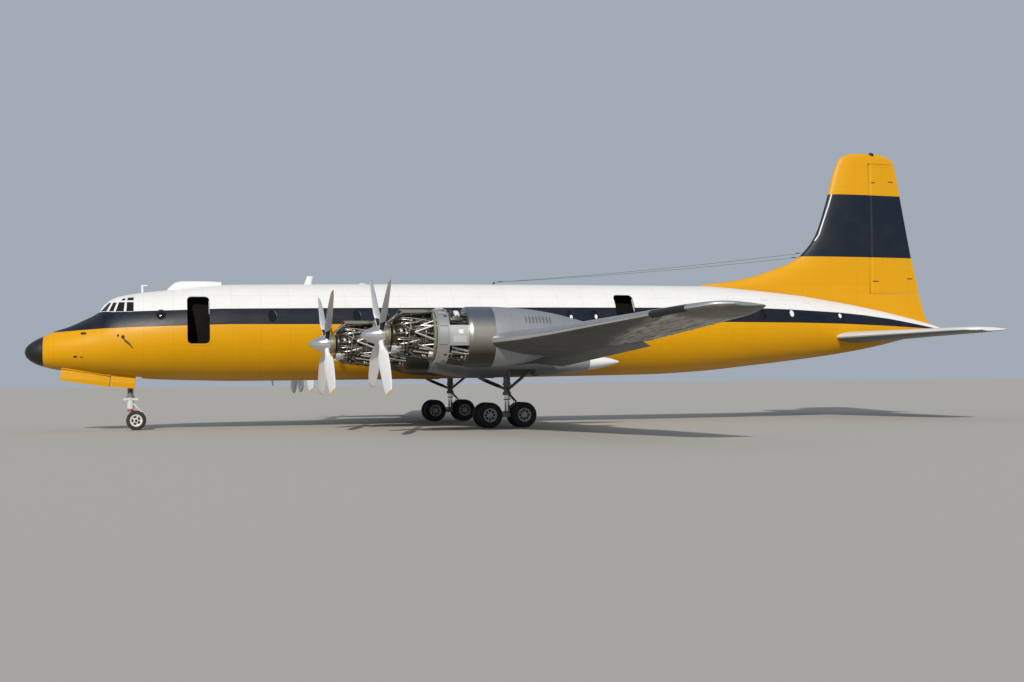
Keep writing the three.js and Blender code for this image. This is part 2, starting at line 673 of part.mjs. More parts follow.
function engineCore(engine) {
  const at = point(engine.disc, engine.span, engine.z);
  const place = (solid) => toSolid(toGeometry(solid).translate(at.x, at.y, at.z));
  const shaft = [[SPINNER.at(-1)[0] + GAP, SHAFT_RADIUS], [ENGINE_CORE[0][0] - 0.02, SHAFT_RADIUS]];
  const rear = [BARREL.front - GAP, ENGINE_CORE.at(-1)[1]];
  let body = place(turned([...shaft, ...ENGINE_CORE, rear], 12));
  const { front, back, outer, inner, drop } = COWL_RING;
  const around = ([aft, radius], angle) => point(
    engine.disc + aft,
    engine.span + radius * Math.cos(rad(angle)),
    engine.z - drop + radius * Math.sin(rad(angle)),
  );
  for (const hoop of HOOPS) body = body.add(tube(engine, hoop[0], hoop[1], hoop[3], hoop[2], drop, 12));
  for (let i = 0; i < CANS.count; i += 1) {
    const angle = (360 / CANS.count) * (i + 0.5);
    const [from, to] = [CANS.front, CANS.back].map((aft) => around([aft, CANS.reach], angle));
    body = body.add(rod(from, to, CANS.radius, CANS.sides));
  }
  for (const angle of PIPE_ANGLES) {
    const stops = PIPE_PATH.map((stop) => around(stop, angle));
    body = body.add(pipe(stops, PIPE_RADIUS, 4));
  }
  const ring = [back - 0.2, inner + 0.02];
  for (const angle of STRUT_ANGLES) {
    const [foot, knee] = [around([0.95, 0.44], angle), around([1.22, 0.62], angle)];
    body = body.add(rod(foot, knee, STRUT_RADIUS, 5));
    body = body.add(rod(knee, around(ring, angle - 8), STRUT_RADIUS, 5));
  }
  const reach = 0.2;
  return body.subtract(tube(engine, front - reach, back + reach, outer + reach, inner - GAP, drop));
}

function spinner() {
  return turned(SPINNER, 16);
}

// A blade along +Z from the hub, its chord turned from the disc plane by the pitch
function blade() {
  const outline = [[-0.5, 0], [-0.2, 0.5], [0.25, 0.4], [0.5, 0], [0.25, -0.4], [-0.2, -0.5]];
  return loft(BLADE.map(([radius, chord, pitch, thickness]) => outline.map(([along, across]) => {
    const [c, s] = [Math.cos(rad(pitch)), Math.sin(rad(pitch))];
    const [u, v] = [along * chord, across * thickness];
    return new THREE.Vector3((u * s + v * c) * METRE, (u * c - v * s) * METRE, radius * METRE);
  })));
}

function propeller(engine) {
  let body = spinner();
  for (let i = 0; i < BLADES; i += 1) {
    const geometry = toGeometry(blade());
    geometry.rotateX(-rad(engine.phase + (360 / BLADES) * i));
    body = body.add(toSolid(geometry));
  }
  return body;
}

// Landing gear

function wheelProfile({ radius, width, rim }) {
  const half = width / 2;
  return [
    [AXLE * 0.5, -half * 0.5], [radius * 0.88, -half], [radius, -half * 0.55],
    [radius, half * 0.55], [radius * 0.88, half], [rim, half * 0.85],
    [rim * 0.9, half * 0.2], [AXLE * 0.5, half * 0.3],
  ];
}

// Twin wheels on their axle, about their own centre, the axle along Y
function wheelPair(wheel) {
  const end = new THREE.Vector3(0, (wheel.half_spread + 0.1) * METRE, 0);
  let body = rod(end.clone().negate(), end, AXLE, AXLE_SIDES);
  for (const side of [1, -1]) {
    const outline = wheelProfile(wheel).map(([r, y]) => new THREE.Vector2(r * METRE, y * METRE));
    const geometry = new THREE.LatheGeometry([...outline, outline[0]], WHEEL_SIDES);
    if (side < 0) geometry.rotateZ(Math.PI);
    geometry.translate(0, side * wheel.half_spread * METRE, 0);
    body = body.add(toSolid(geometry));
  }
  return body;
}

function axleBore(station, span, z, reach) {
  const radius = (AXLE + AXLE_PLAY) / Math.cos(Math.PI / AXLE_SIDES);
  return rod(point(station, span - reach, z), point(station, span + reach, z), radius, AXLE_SIDES);
}

function bogieBeam() {
  const { station, half_base: base, beam } = BOGIE;
  const { span } = ENGINES[1];
  const z = MAIN_WHEEL.radius;
  const [front, back] = [station - base, station + base];
  let body = rod(point(front, span, z), point(back, span, z), beam, 12);
  for (const axle of [front, back]) {
    body = body.add(rod(point(axle, span - 0.13, z), point(axle, span + 0.13, z), 0.095, 16));
  }
  const { station: leg, foot_z: foot } = MAIN_LEG;
  body = body.add(box(leg - 0.12, leg + 0.12, span - 0.06, span + 0.06, z, foot - GAP));
  for (const axle of [front, back]) body = body.subtract(axleBore(axle, span, z, 0.3));
  return body;
}

function mainLeg() {
  const { span } = ENGINES[1];
  const { station, outer, inner, collar_z: collar, foot_z: foot } = MAIN_LEG;
  let body = rod(point(station, span, MAIN_BAY.roof - GAP), point(station, span, collar), outer, 12);
  body = body.add(rod(point(station, span, collar + 0.05), point(station, span, foot), inner, 12));
  body = body.add(rod(point(station, span, collar), point(station, span, collar + 0.1), outer + 0.03, 12));
  for (const side of [-0.16, 0.16]) {
    const [low, high] = [span + side * 0.5, span + side];
    body = body.add(rod(point(station + 0.05, low, 1.35), point(station - 1.35, high, 1.95), 0.045, 6));
    body = body.add(rod(point(station - 0.05, low, 1.30), point(station + 1.0, high, 2.16), 0.035, 6));
  }
  const links = [[0.12, 1.16], [0.36, 0.92], [0.06, 0.70]].map(([aft, z]) => point(station + aft, span, z));
  return body.add(pipe(links, 0.035));
}

function noseLeg() {
  const { station, outer, split_z: split } = NOSE_LEG;
  let body = rod(point(station, 0, NOSE_BAY.roof - GAP), point(station, 0, split + GAP), outer, 16);
  for (const side of [-0.2, 0.2]) {
    const top = point(station - 1.1, side, NOSE_BAY.roof + 0.1);
    body = body.add(rod(point(station, side * 0.4, 1.55), top, 0.035, 8));
  }
  return body.intersect(noseBay(GAP));
}

// The steered foot, about its own top on the steering line
function noseFork() {
  const { station, inner, outer, split_z: split, foot_z: foot } = NOSE_LEG;
  const wheel = NOSE_WHEEL;
  let body = rod(point(station, 0, split), point(station, 0, foot), inner, 16);
  body = body.add(rod(point(station, 0, split), point(station, 0, split - 0.14), outer + 0.02, 16));
  body = body.add(box(station - 0.24, station + 0.26, -0.11, 0.11, split - 0.08, split - 0.02));
  const links = [[0.10, 0.98], [0.42, 0.66], [0.10, 0.50]].map(([aft, z]) => point(station + aft, 0, z));
  body = body.add(pipe(links, 0.035));
  body = body.add(rod(point(station, 0, foot + 0.06), point(wheel.station, 0, wheel.radius), 0.07, 12));
  const hub = [-0.075, 0.075].map((span) => point(wheel.station, span, wheel.radius));
  body = body.add(rod(...hub, 0.09, AXLE_SIDES));
  return body.subtract(axleBore(wheel.station, 0, wheel.radius, 0.2));
}

// The belly panel over part of the nose bay, closed, as thick as the skin
function bellyPanel(front, back) {
  const shell = fuselageLoft().subtract(fuselageLoft(-NOSE_DOORS.thickness));
  const edge = NOSE_BAY.half - RUNNING_GAP;
  return shell.intersect(box(front, back, RUNNING_GAP / 2, edge, 1.5, 2.6));
}

// The hinge line of the nose doors, just under the skin at the edge of the bay
function bayEdge(station, under) {
  const k = FUSELAGE.findIndex((row) => row[0] >= station);
  const [a, b] = [FUSELAGE[k - 1], FUSELAGE[k]];
  const t = (station - a[0]) / (b[0] - a[0]);
  const [, , widest, bottom, half] = a.map((v, i) => v + (b[i] - v) * t);
  const drop = Math.sqrt(1 - (NOSE_BAY.half / half) ** 2);
  return point(station, NOSE_BAY.half, widest - (widest - bottom) * drop - under);
}

// First and last station of a nose door, and how far its hinge line lies under the skin
const NOSE_DOOR_SPANS = [
  [NOSE_BAY.front + RUNNING_GAP, NOSE_DOORS.split, 0.04],
  [NOSE_DOORS.split + NOSE_DOORS.gap, NOSE_DOORS.aft_end, 0.015],
];

// The grooves in the belly that hold the rods of the nose doors
function hingeGrooves() {
  const radius = (NOSE_DOORS.rod + AXLE_PLAY) / Math.cos(Math.PI / ROD_SIDES);
  const grooves = NOSE_DOOR_SPANS.map(([front, back, under]) => (
    rod(bayEdge(front, under), bayEdge(back, under), radius, ROD_SIDES)));
  const port = grooves[0].add(grooves[1]);
  return port.add(mirrored(port));
}

// A nose door hung open: turned about its hinge line, with a rod along that line
function noseDoor(front, back, under) {
  const [from, to] = [bayEdge(front, under), bayEdge(back, under)];
  const axis = new THREE.Vector3().subVectors(to, from).normalize();
  const step = axis.clone().multiplyScalar(GAP * METRE);
  const bar = rod(from.clone().add(step), to.clone().sub(step), NOSE_DOORS.rod, ROD_SIDES);
  let closed = bellyPanel(front, back).add(bar);
  const edge = NOSE_BAY.half - RUNNING_GAP;
  for (const share of [0.2, 0.8]) {
    const [station, z] = [front + (back - front) * share, (from.z + (to.z - from.z) * share) / METRE];
    closed = closed.add(box(station - 0.04, station + 0.04, edge - 0.03, edge, z, z + 0.07));
  }
  const geometry = toGeometry(closed);
  geometry.translate(-from.x, -from.y, -from.z);
  geometry.applyQuaternion(new THREE.Quaternion().setFromAxisAngle(axis, -rad(NOSE_DOORS.swing)));
  geometry.translate(from.x, from.y, from.z);
  return toSolid(geometry);
}

// Materials: colour, roughness and metalness

const finish = (color, roughness, metalness) => (
  new THREE.MeshStandardMaterial({ color, roughness, metalness }));
const YELLOW = finish(0xe9a90c, 0.35, 0.0);
const WHITE = finish(0xe9eaec, 0.35, 0.0);
const BLACK = finish(0x23262c, 0.4, 0.0);
const GLASS = finish(0x1d252b, 0.1, 0.2);
const BARE_METAL = finish(0x8f9295, 0.4, 0.8);
const DARK_METAL = finish(0x4c4a48, 0.5, 0.7);
const POLISHED = finish(0xc9ccd0, 0.2, 0.9);
const STEEL = finish(0x55575a, 0.45, 0.6);
const TYRE = finish(0x17181a, 0.9, 0.0);

const aeroplane = new THREE.Group();

function add(name, solid, material, at = new THREE.Vector3()) {
  const mesh = new THREE.Mesh(toGeometry(solid), material);
  mesh.name = name;
  mesh.position.copy(at);
  aeroplane.add(mesh);
}

function addBothSides(name, solid, material) {
  add(`${name}_port`, solid, material);
  add(`${name}_starboard`, mirrored(solid), material);
}

// A wing or tailplane on each side, its root fitted to the fuselage skin
function addPanels(name, solid, material) {
  const body = fuselageLoft(GAP);
  add(`${name}_port`, solid.subtract(body), material);
  add(`${name}_starboard`, mirrored(solid).subtract(body), material);
}

add('radome', radome(), BLACK);
add('fuselage', fuselage(), YELLOW);
add('cockpit_glazing', cockpitGlazing(), GLASS);
add('dorsal_hump', dorsalHump(), WHITE);
for (const door of DOORS) add(door.name, doorLeaf(door), WHITE);
add('fin', fin(), YELLOW);
add('rudder', rudder(), YELLOW);
addPanels('tailplane', tailplane(), WHITE);
addBothSides('elevator', elevator(), WHITE);
addPanels('wing', wing(), BARE_METAL);
for (const row of WING_SURFACES) addBothSides(row[0], wingSurface(row), BARE_METAL);

for (const engine of ENGINES) {
  const shell = nacelle(engine);
  const core = engineCore(engine);
  const blades = propeller(engine);
  for (const side of [1, -1]) {
    const name = side > 0 ? engine.name : engine.name.replace('port', 'starboard');
    add(`nacelle_${name}`, side > 0 ? shell : mirrored(shell), BARE_METAL);
    add(`engine_${name}`, side > 0 ? core : mirrored(core), DARK_METAL);
    add(`propeller_${name}`, blades, POLISHED, point(engine.disc, side * engine.span, engine.z));
  }
}

addBothSides('main_leg', mainLeg().subtract(gearPod(GAP).subtract(mainBay(GAP))), STEEL);
addBothSides('bogie_beam', bogieBeam(), STEEL);
const mainWheels = wheelPair(MAIN_WHEEL);
for (const [end, shift] of [['front', -BOGIE.half_base], ['rear', BOGIE.half_base]]) {
  for (const [sideName, side] of [['port', 1], ['starboard', -1]]) {
    const at = point(BOGIE.station + shift, side * ENGINES[1].span, MAIN_WHEEL.radius);
    add(`main_wheels_${end}_${sideName}`, mainWheels, TYRE, at);
  }
}
add('nose_leg', noseLeg(), STEEL);
add('nose_fork', noseFork(), STEEL);
add('nose_wheels', wheelPair(NOSE_WHEEL), TYRE, point(NOSE_WHEEL.station, 0, NOSE_WHEEL.radius));
for (const [i, place] of ['front', 'rear'].entries()) {
  addBothSides(`nose_door_${place}`, noseDoor(...NOSE_DOOR_SPANS[i]), YELLOW);
}

export default aeroplane;
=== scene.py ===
"""Looks of a half-size four-engined turboprop transport aeroplane, parked with its engine cowls off.

Sizes in this script are real metres: a station counts aft from the nose tip, a span counts out to port,
and a height counts up from the ground. place() turns them into the half-size model's own metres.
"""

import bisect
import json
import random
from math import asin, copysign, cos, pi, radians, sin, sqrt

import bmesh
import bpy
from mathutils import Matrix, Vector

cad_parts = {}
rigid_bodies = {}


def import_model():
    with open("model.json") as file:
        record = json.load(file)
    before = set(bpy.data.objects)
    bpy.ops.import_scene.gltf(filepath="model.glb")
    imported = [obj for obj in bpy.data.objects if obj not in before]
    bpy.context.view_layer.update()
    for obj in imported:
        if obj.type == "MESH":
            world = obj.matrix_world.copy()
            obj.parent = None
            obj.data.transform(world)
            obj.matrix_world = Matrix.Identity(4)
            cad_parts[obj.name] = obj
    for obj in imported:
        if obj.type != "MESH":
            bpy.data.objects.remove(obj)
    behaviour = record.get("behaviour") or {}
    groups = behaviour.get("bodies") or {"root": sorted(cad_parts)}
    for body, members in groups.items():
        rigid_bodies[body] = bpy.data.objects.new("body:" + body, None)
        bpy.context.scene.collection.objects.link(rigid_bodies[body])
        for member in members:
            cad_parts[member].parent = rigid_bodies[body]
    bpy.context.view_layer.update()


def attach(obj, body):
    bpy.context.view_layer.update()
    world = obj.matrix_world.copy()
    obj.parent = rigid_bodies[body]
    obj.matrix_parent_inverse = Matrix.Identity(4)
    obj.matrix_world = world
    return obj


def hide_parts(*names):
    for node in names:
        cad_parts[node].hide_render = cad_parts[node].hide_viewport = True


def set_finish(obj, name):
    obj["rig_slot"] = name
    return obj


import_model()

SCALE = 0.5
LENGTH = 37.88
PORT, STARBOARD = 1, -1
SIDES = {PORT: "port", STARBOARD: "starboard"}

# Camera, fitted to the photograph: place, turn, climb and lean, and focal length on a 36 mm frame
CAMERA = {"station": 4.295, "span": 51.913, "height": 1.674, "yaw": 0.266, "pitch": 0.030, "roll": -0.010}
LENS_MM = 47.18

# Station, top, widest height, bottom and half width of the fuselage
FUSELAGE = [
    (0.66, 3.48, 2.925, 2.37, 0.555), (1.00, 3.65, 2.96, 2.28, 0.72), (1.50, 3.82, 3.00, 2.20, 0.90),
    (2.05, 4.07, 3.06, 2.12, 1.07), (2.60, 4.38, 3.12, 2.05, 1.22), (2.82, 4.66, 3.15, 2.03, 1.28),
    (3.02, 4.84, 3.18, 2.01, 1.33), (3.38, 4.98, 3.23, 1.98, 1.41), (4.05, 5.10, 3.33, 1.92, 1.54),
    (5.05, 5.22, 3.43, 1.86, 1.70), (6.30, 5.37, 3.53, 1.82, 1.80), (7.60, 5.45, 3.58, 1.79, 1.83),
    (24.0, 5.56, 3.73, 1.90, 1.83), (26.5, 5.56, 3.77, 2.02, 1.77), (28.5, 5.46, 3.80, 2.21, 1.62),
    (30.5, 5.27, 3.82, 2.42, 1.38), (32.5, 5.00, 3.84, 2.66, 1.08), (34.5, 4.66, 3.84, 2.98, 0.76),
    (36.3, 4.27, 3.83, 3.38, 0.42), (37.5, 3.97, 3.82, 3.68, 0.16), (37.88, 3.86, 3.80, 3.74, 0.06),
]
# Station and radius of the nose cap
RADOME = [(0.0, 0.0), (0.04, 0.14), (0.14, 0.27), (0.30, 0.39), (0.48, 0.485), (0.66, 0.555)]
NOSE_TIP = 2.90

# Span, leading and trailing edge stations, their heights and thickness over chord
WING = [
    (0.90, 12.80, 18.745, 2.60, 2.24, 0.185), (14.10, 15.67, 18.97, 3.09, 2.88, 0.182),
    (20.60, 17.08, 19.08, 3.445, 3.30, 0.162), (21.30, 17.40, 19.08, 3.495, 3.40, 0.150),
    (21.58, 17.75, 19.08, 3.53, 3.475, 0.130), (21.68, 18.20, 18.98, 3.535, 3.50, 0.110),
]
# Inner end, outer end and share of the chord ahead of the hinge
FLAP_BAYS = [(2.00, 3.78, 0.78), (5.68, 14.05, 0.78), (14.20, 20.60, 0.75)]
BOOT = (19.2, 20.9, 0.045)
TAILPLANE = [
    (0.20, 32.18, 36.23, 3.40, 3.40, 0.12), (7.90, 33.53, 35.49, 3.44, 3.44, 0.11),
    (8.32, 33.75, 35.41, 3.44, 3.44, 0.11), (8.50, 34.18, 35.25, 3.44, 3.44, 0.11),
]
ELEVATOR = {"inner": 0.86, "outer": 7.90, "station": 34.75}

# Height, leading and trailing edge stations and thickness of the fin
FIN = [
    (3.90, 26.60, 37.76, 0.30), (4.02, 26.60, 37.44, 0.31), (4.14, 26.60, 37.28, 0.32),
    (4.40, 26.60, 37.15, 0.35), (5.00, 26.60, 36.98, 0.42), (5.60, 26.60, 36.84, 0.46),
    (5.74, 27.80, 36.81, 0.46), (5.95, 28.85, 36.76, 0.46), (6.30, 29.95, 36.68, 0.46),
    (6.65, 30.85, 36.61, 0.46), (7.05, 31.38, 36.52, 0.45), (7.80, 31.95, 36.38, 0.44),
    (9.10, 32.44, 36.13, 0.39), (10.93, 33.03, 35.79, 0.30), (11.20, 33.22, 35.56, 0.26),
    (11.36, 33.70, 35.05, 0.18),
]
RUDDER = {"bottom": 5.33, "top": 10.93, "station": 34.62}
FIN_KNEE = 7.05
RUNNING_GAP = 0.014
END_GAP = 0.030
# Half the thickness of a trailing edge, and a station behind everything
TRAILING = 0.004
BEHIND = 40
BEACON = {"station": 34.68, "height": 11.36}

# Span, station of the propeller disc, shaft height and turn of the blades
ENGINES = {"outer": (10.0, 11.40, 3.17, 49.0), "inner": (4.725, 10.38, 3.05, 44.0)}
BLADES = 4
SPINNER = [(-0.62, 0.0), (-0.60, 0.045), (-0.55, 0.10), (-0.38, 0.19), (-0.18, 0.27), (0.0, 0.318),
           (0.12, 0.332)]
# Radius, chord, pitch from the disc plane and thickness of a blade
BLADE = [
    (0.20, 0.17, 52, 0.17), (0.45, 0.18, 50, 0.16), (0.66, 0.26, 47, 0.13), (0.85, 0.40, 44, 0.09),
    (1.40, 0.45, 36, 0.06), (2.00, 0.42, 31, 0.045), (2.30, 0.34, 28, 0.035), (2.40, 0.22, 28, 0.025),
    (2.44, 0.05, 28, 0.015),
]
CUFF_END = 0.66
TIP_START = 2.36
# Distance aft of the disc and radius of the bare engine's casings
ENGINE_CORE = [
    (0.30, 0.12), (0.33, 0.33), (0.44, 0.40), (0.50, 0.44), (0.88, 0.50), (1.00, 0.50), (1.05, 0.41),
    (1.50, 0.36), (1.64, 0.44), (1.90, 0.46), (2.68, 0.46),
]
COWL_RING = {"front": 1.69, "back": 2.08, "outer": 0.86, "inner": 0.79, "drop": 0.03}
BARREL = {"front": 2.69, "back": 3.54}
# Distance aft of the disc, top and bottom over the shaft height, and half width of the nacelle's rear
NACELLE_REAR = [
    (2.69, 0.865, -0.985, 0.925), (2.77, 0.91, -1.03, 0.97), (3.54, 0.915, -1.035, 0.975),
    (4.60, 0.86, -0.93, 0.90), (5.60, 0.72, -0.62, 0.74), (6.60, 0.48, -0.36, 0.50),
    (7.40, 0.24, -0.30, 0.34),
]
EXHAUST = {"radius": 0.22, "depth": 0.45}
# Station, top, bottom and half width of the wheel pod
GEAR_POD = [
    (14.02, 3.00, 2.03, 0.93), (15.2, 3.00, 1.82, 0.92), (17.0, 2.80, 1.79, 0.84), (18.4, 2.74, 1.88, 0.71),
    (20.1, 2.62, 2.06, 0.42), (20.9, 2.50, 2.22, 0.20), (21.24, 2.40, 2.32, 0.06),
]
POD_CONE = 19.90
MAIN_BAY = {"front": 16.42, "back": 18.0, "half": 0.44, "roof": 2.10}
SIDE_GAP = {"front": 16.75, "back": 17.87, "inner": 0.30}

MAIN_WHEEL = {"radius": 0.46, "width": 0.30, "spread": 0.30, "rim": 0.245, "holes": 8}
NOSE_WHEEL = {"radius": 0.36, "width": 0.20, "spread": 0.19, "rim": 0.222, "holes": 5}
AXLE = 0.05
BOGIE = {"station": 16.84, "half_base": 0.64, "beam": 0.085}
MAIN_LEG = {"station": 16.94, "outer": 0.125, "inner": 0.09, "collar": 1.18, "foot": 0.60}
NOSE_LEG = {"station": 3.72, "outer": 0.12, "inner": 0.085, "split": 1.20, "foot": 0.42, "wheel": 3.92}
NOSE_BAY = {"front": 1.29, "back": 4.12, "half": 0.44, "roof": 2.78}

DOORWAY = {"width": 0.80, "height": 1.76, "corner": 0.16, "depth": 1.10, "wall": 0.12, "aft": 0.98}
DOORS = [(5.73, 3.16), (22.28, 3.33)]
# Station, crown height and half width of the fairing behind the flight deck
HUMP = [
    (5.04, 5.24, 0.12), (5.20, 5.40, 0.22), (5.38, 5.52, 0.30), (5.62, 5.56, 0.34), (6.40, 5.57, 0.34),
    (7.02, 5.545, 0.32),
]


def place(station, span, height):
    """A real point in the model's own frame."""
    return Vector(((LENGTH / 2 - station) * SCALE, span * SCALE, height * SCALE))


class Fair:
    """A fair curve through a table's rows, without overshoot: first column to all the others."""

    def __init__(self, rows):
        self.x = [row[0] for row in rows]
        self.columns = [list(column) for column in list(zip(*rows))[1:]]
        self.slopes = [self.tangents(column) for column in self.columns]

    def tangents(self, y):
        steps = [b - a for a, b in zip(self.x, self.x[1:])]
        secants = [(b - a) / h for a, b, h in zip(y, y[1:], steps)]
        slopes = [secants[0]]
        for before, after, h0, h1 in zip(secants, secants[1:], steps, steps[1:]):
            if before * after <= 0:
                slopes.append(0.0)
                continue
            w0, w1 = 2 * h1 + h0, h1 + 2 * h0
            slopes.append((w0 + w1) / (w0 / before + w1 / after))
        slopes.append(secants[-1])
        return slopes

    def __call__(self, x):
        x = min(max(x, self.x[0]), self.x[-1])
        k = min(max(bisect.bisect_right(self.x, x) - 1, 0), len(self.x) - 2)
        h = self.x[k + 1] - self.x[k]
        t = (x - self.x[k]) / h
        t2, t3 = t * t, t * t * t
        values = []
        for y, m in zip(self.columns, self.slopes):
            values.append(
                (2 * t3 - 3 * t2 + 1) * y[k]
                + (t3 - 2 * t2 + t) * h * m[k]
                + (3 * t2 - 2 * t3) * y[k + 1]
                + (t3 - t2) * h * m[k + 1]
            )
        return values


def between(rows, x):
    """Straight lines between a table's rows."""
    keys = [row[0] for row in rows]
    k = min(max(bisect.bisect_right(keys, x) - 1, 0), len(rows) - 2)
    t = (x - keys[k]) / (keys[k + 1] - keys[k])
    return [a + (b - a) * t for a, b in zip(rows[k][1:], rows[k + 1][1:])]


def spread(first, last, count):
    return [first + (last - first) * i / count for i in range(count + 1)]


def turns(count, shift=0):
    """Angles of a whole turn, in even steps."""
    return [2 * pi * (k + shift) / count for k in range(count)]


class Shape:
    """Collects faces, each with the number of its material, and becomes one piece."""

    def __init__(self, rings=(), mark=0):
        self.points = []
        self.faces = []
        self.marks = []
        if rings:
            self.skin(rings, mark)

    def face(self, corners, mark=0):
        self.faces.append(corners)
        self.marks.append(mark)

    def add(self, points):
        first = len(self.points)
        self.points.extend(points)
        return first

    def skin(self, rings, mark=0, closed=False):
        """Quads between rings with the same number of points. mark may be a function of ring and place.

        Closed joins the last ring to the first one; otherwise both ends get a cap."""
        count = len(rings[0])
        number = mark if callable(mark) else lambda r, i: mark
        firsts = [self.add(ring) for ring in rings]
        for r in range(len(rings) if closed else len(rings) - 1):
            a, b = firsts[r], firsts[(r + 1) % len(rings)]
            for i in range(count):
                j = (i + 1) % count
                self.face((a + i, a + j, b + j, b + i), number(r, i))
        if not closed:
            self.face(tuple(firsts[0] + i for i in reversed(range(count))), number(0, 0))
            self.face(tuple(firsts[-1] + i for i in range(count)), number(0, 0))

    def tube(self, path, radius, sides=8, mark=0, closed=False):
        """A round pipe along points of the model, without twist, its radius in real metres."""
        path = [Vector(p) for p in path]
        count = len(path)
        ahead = []
        for i in range(count):
            a = path[(i - 1) % count] if closed or i else path[0]
            b = path[(i + 1) % count] if closed or i < count - 1 else path[-1]
            ahead.append((b - a).normalized())
        normal = ahead[0].orthogonal().normalized()
        rings = []
        for i in range(count):
            normal = (normal - ahead[i] * normal.dot(ahead[i])).normalized()
            across = ahead[i].cross(normal)
            rings.append([path[i] + (normal * cos(a) + across * sin(a)) * (radius * SCALE)
                          for a in turns(sides)])
        self.skin(rings, mark, closed)

    def turn(self, profile, origin, axis, mark=0, sides=32, closed=False):
        """A turned shape: (distance along the axis, radius) rows, in real metres. Closed joins both ends."""
        origin, axis = Vector(origin), Vector(axis).normalized()
        side = axis.orthogonal().normalized()
        across = axis.cross(side)
        self.skin([
            [origin + axis * (along * SCALE) + (side * cos(a) + across * sin(a)) * (max(radius,
                                                                                        0.0005) * SCALE)
             for a in turns(sides)]
            for along, radius in profile
        ], mark, closed)

    def bars(self, *rows):
        """Round bars: rows of both ends as (station, span, height), radius, material number and sides."""
        for start, end, radius, mark, sides in rows:
            self.tube([place(*start), place(*end)], radius, sides, mark)

    def block(self, corner, far, mark=0):
        """A box between two opposite corners of the model."""
        low = [min(a, b) for a, b in zip(corner, far)]
        high = [max(a, b) for a, b in zip(corner, far)]
        self.skin([
            [Vector((x, y, z)) for x, y in (
                (low[0], low[1]), (high[0], low[1]), (high[0], high[1]), (low[0], high[1]))]
            for z in (low[2], high[2])
        ], mark)

    def slab(self, outline, shift, mark=0):
        """A flat plate: an outline pushed along a vector."""
        self.skin([[Vector(p) for p in outline], [Vector(p) + Vector(shift) for p in outline]], mark)

    def mirror(self):
        """The same shape on the other side of the aeroplane."""
        other = Shape()
        other.points = [Vector((p[0], -p[1], p[2])) for p in self.points]
        other.faces = [tuple(reversed(face)) for face in self.faces]
        other.marks = list(self.marks)
        return other

    def join(self, other, move=None):
        first = self.add([move @ Vector(p) if move else Vector(p) for p in other.points])
        for face, mark in zip(other.faces, other.marks):
            self.face(tuple(first + i for i in face), mark)
        return self

    def mesh(self, name):
        mesh = bpy.data.meshes.new(name)
        mesh.from_pydata([tuple(p) for p in self.points], [], self.faces)
        mesh.polygons.foreach_set("material_index", self.marks)
        work = bmesh.new()
        work.from_mesh(mesh)
        bmesh.ops.remove_doubles(work, verts=work.verts, dist=1e-6)
        bmesh.ops.recalc_face_normals(work, faces=work.faces)
        work.to_mesh(mesh)
        work.free()
        return mesh


def placed(name, data):
    obj = bpy.data.objects.new(name, data)
    bpy.context.scene.collection.objects.link(obj)
    return obj


def applied(obj):
    """Takes what its modifiers make as the object's own mesh."""
    bpy.context.view_layer.update()
    made = bpy.data.meshes.new_from_object(obj.evaluated_get(bpy.context.evaluated_depsgraph_get()))
    obj.modifiers.clear()
    obj.data = made


def soften(mesh, degrees):
    mesh.shade_smooth()
    mesh.set_sharp_from_angle(angle=radians(degrees))


def piece(name, shape, slot, materials, replaces=(), degrees=32, body="airframe"):
    """Makes a shape one finished piece on a body."""
    return finished(placed(name, shape.mesh(name)), slot, materials, replaces, degrees, body)


def finished(obj, slot, materials, replaces=(), degrees=32, body="airframe"):
    """Puts an object on a body, with materials by their names in the palette."""
    marks = [0] * len(obj.data.polygons)
    obj.data.polygons.foreach_get("material_index", marks)
    obj.data.materials.clear()
    for material in materials.split():
        obj.data.materials.append(PALETTE[material])
    obj.data.polygons.foreach_set("material_index", marks)
    soften(obj.data, degrees)
    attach(obj, body)
    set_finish(obj, slot)
    if replaces:
        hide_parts(*replaces)
    return obj


def cut(shape, cutters, name, side=PORT):
    """A shape with others cut out of it, mirrored for starboard. Its faces keep their material numbers."""
    if side == STARBOARD:
        shape, cutters = shape.mirror(), [cutter.mirror() for cutter in cutters]
    obj = placed(name, shape.mesh(name))
    highest = max(max(s.marks) for s in [shape, *cutters]) + 1
    blanks = [bpy.data.materials.get(f"mark_{i}") or bpy.data.materials.new(f"mark_{i}")
              for i in range(highest)]
    for blank in blanks:
        obj.data.materials.append(blank)
    for number, cutter in enumerate(cutters):
        tool = placed(f"{name}_cutter_{number}", cutter.mesh(f"{name}_cutter_{number}"))
        for blank in blanks:
            tool.data.materials.append(blank)
        step = obj.modifiers.new("cut", "BOOLEAN")
        step.operation = "DIFFERENCE"
        step.solver = "EXACT"
        step.material_mode = "INDEX"
        step.object = tool
        applied(obj)
        bpy.data.objects.remove(tool)
    return obj


# Shapes of the body


body_curve = Fair(FUSELAGE)


def body_point(station, angle, grow=0.0):
    """A point of the skin at an angle up from the port side."""
    top, widest, bottom, half = body_curve(station)
    rise = (top - widest if sin(angle) > 0 else widest - bottom) + grow
    return place(station, (half + grow) * cos(angle), widest + rise * sin(angle))


def body_angle(station, height):
    top, widest, bottom, _ = body_curve(station)
    rise = top - widest if height > widest else widest - bottom
    return asin(max(-1.0, min(1.0, (height - widest) / rise)))


def skin_point(station, height, side, grow=0.0):
    """A point of the skin at a height, on one side."""
    point = body_point(station, body_angle(station, height), grow)
    return Vector((point.x, side * point.y, point.z))


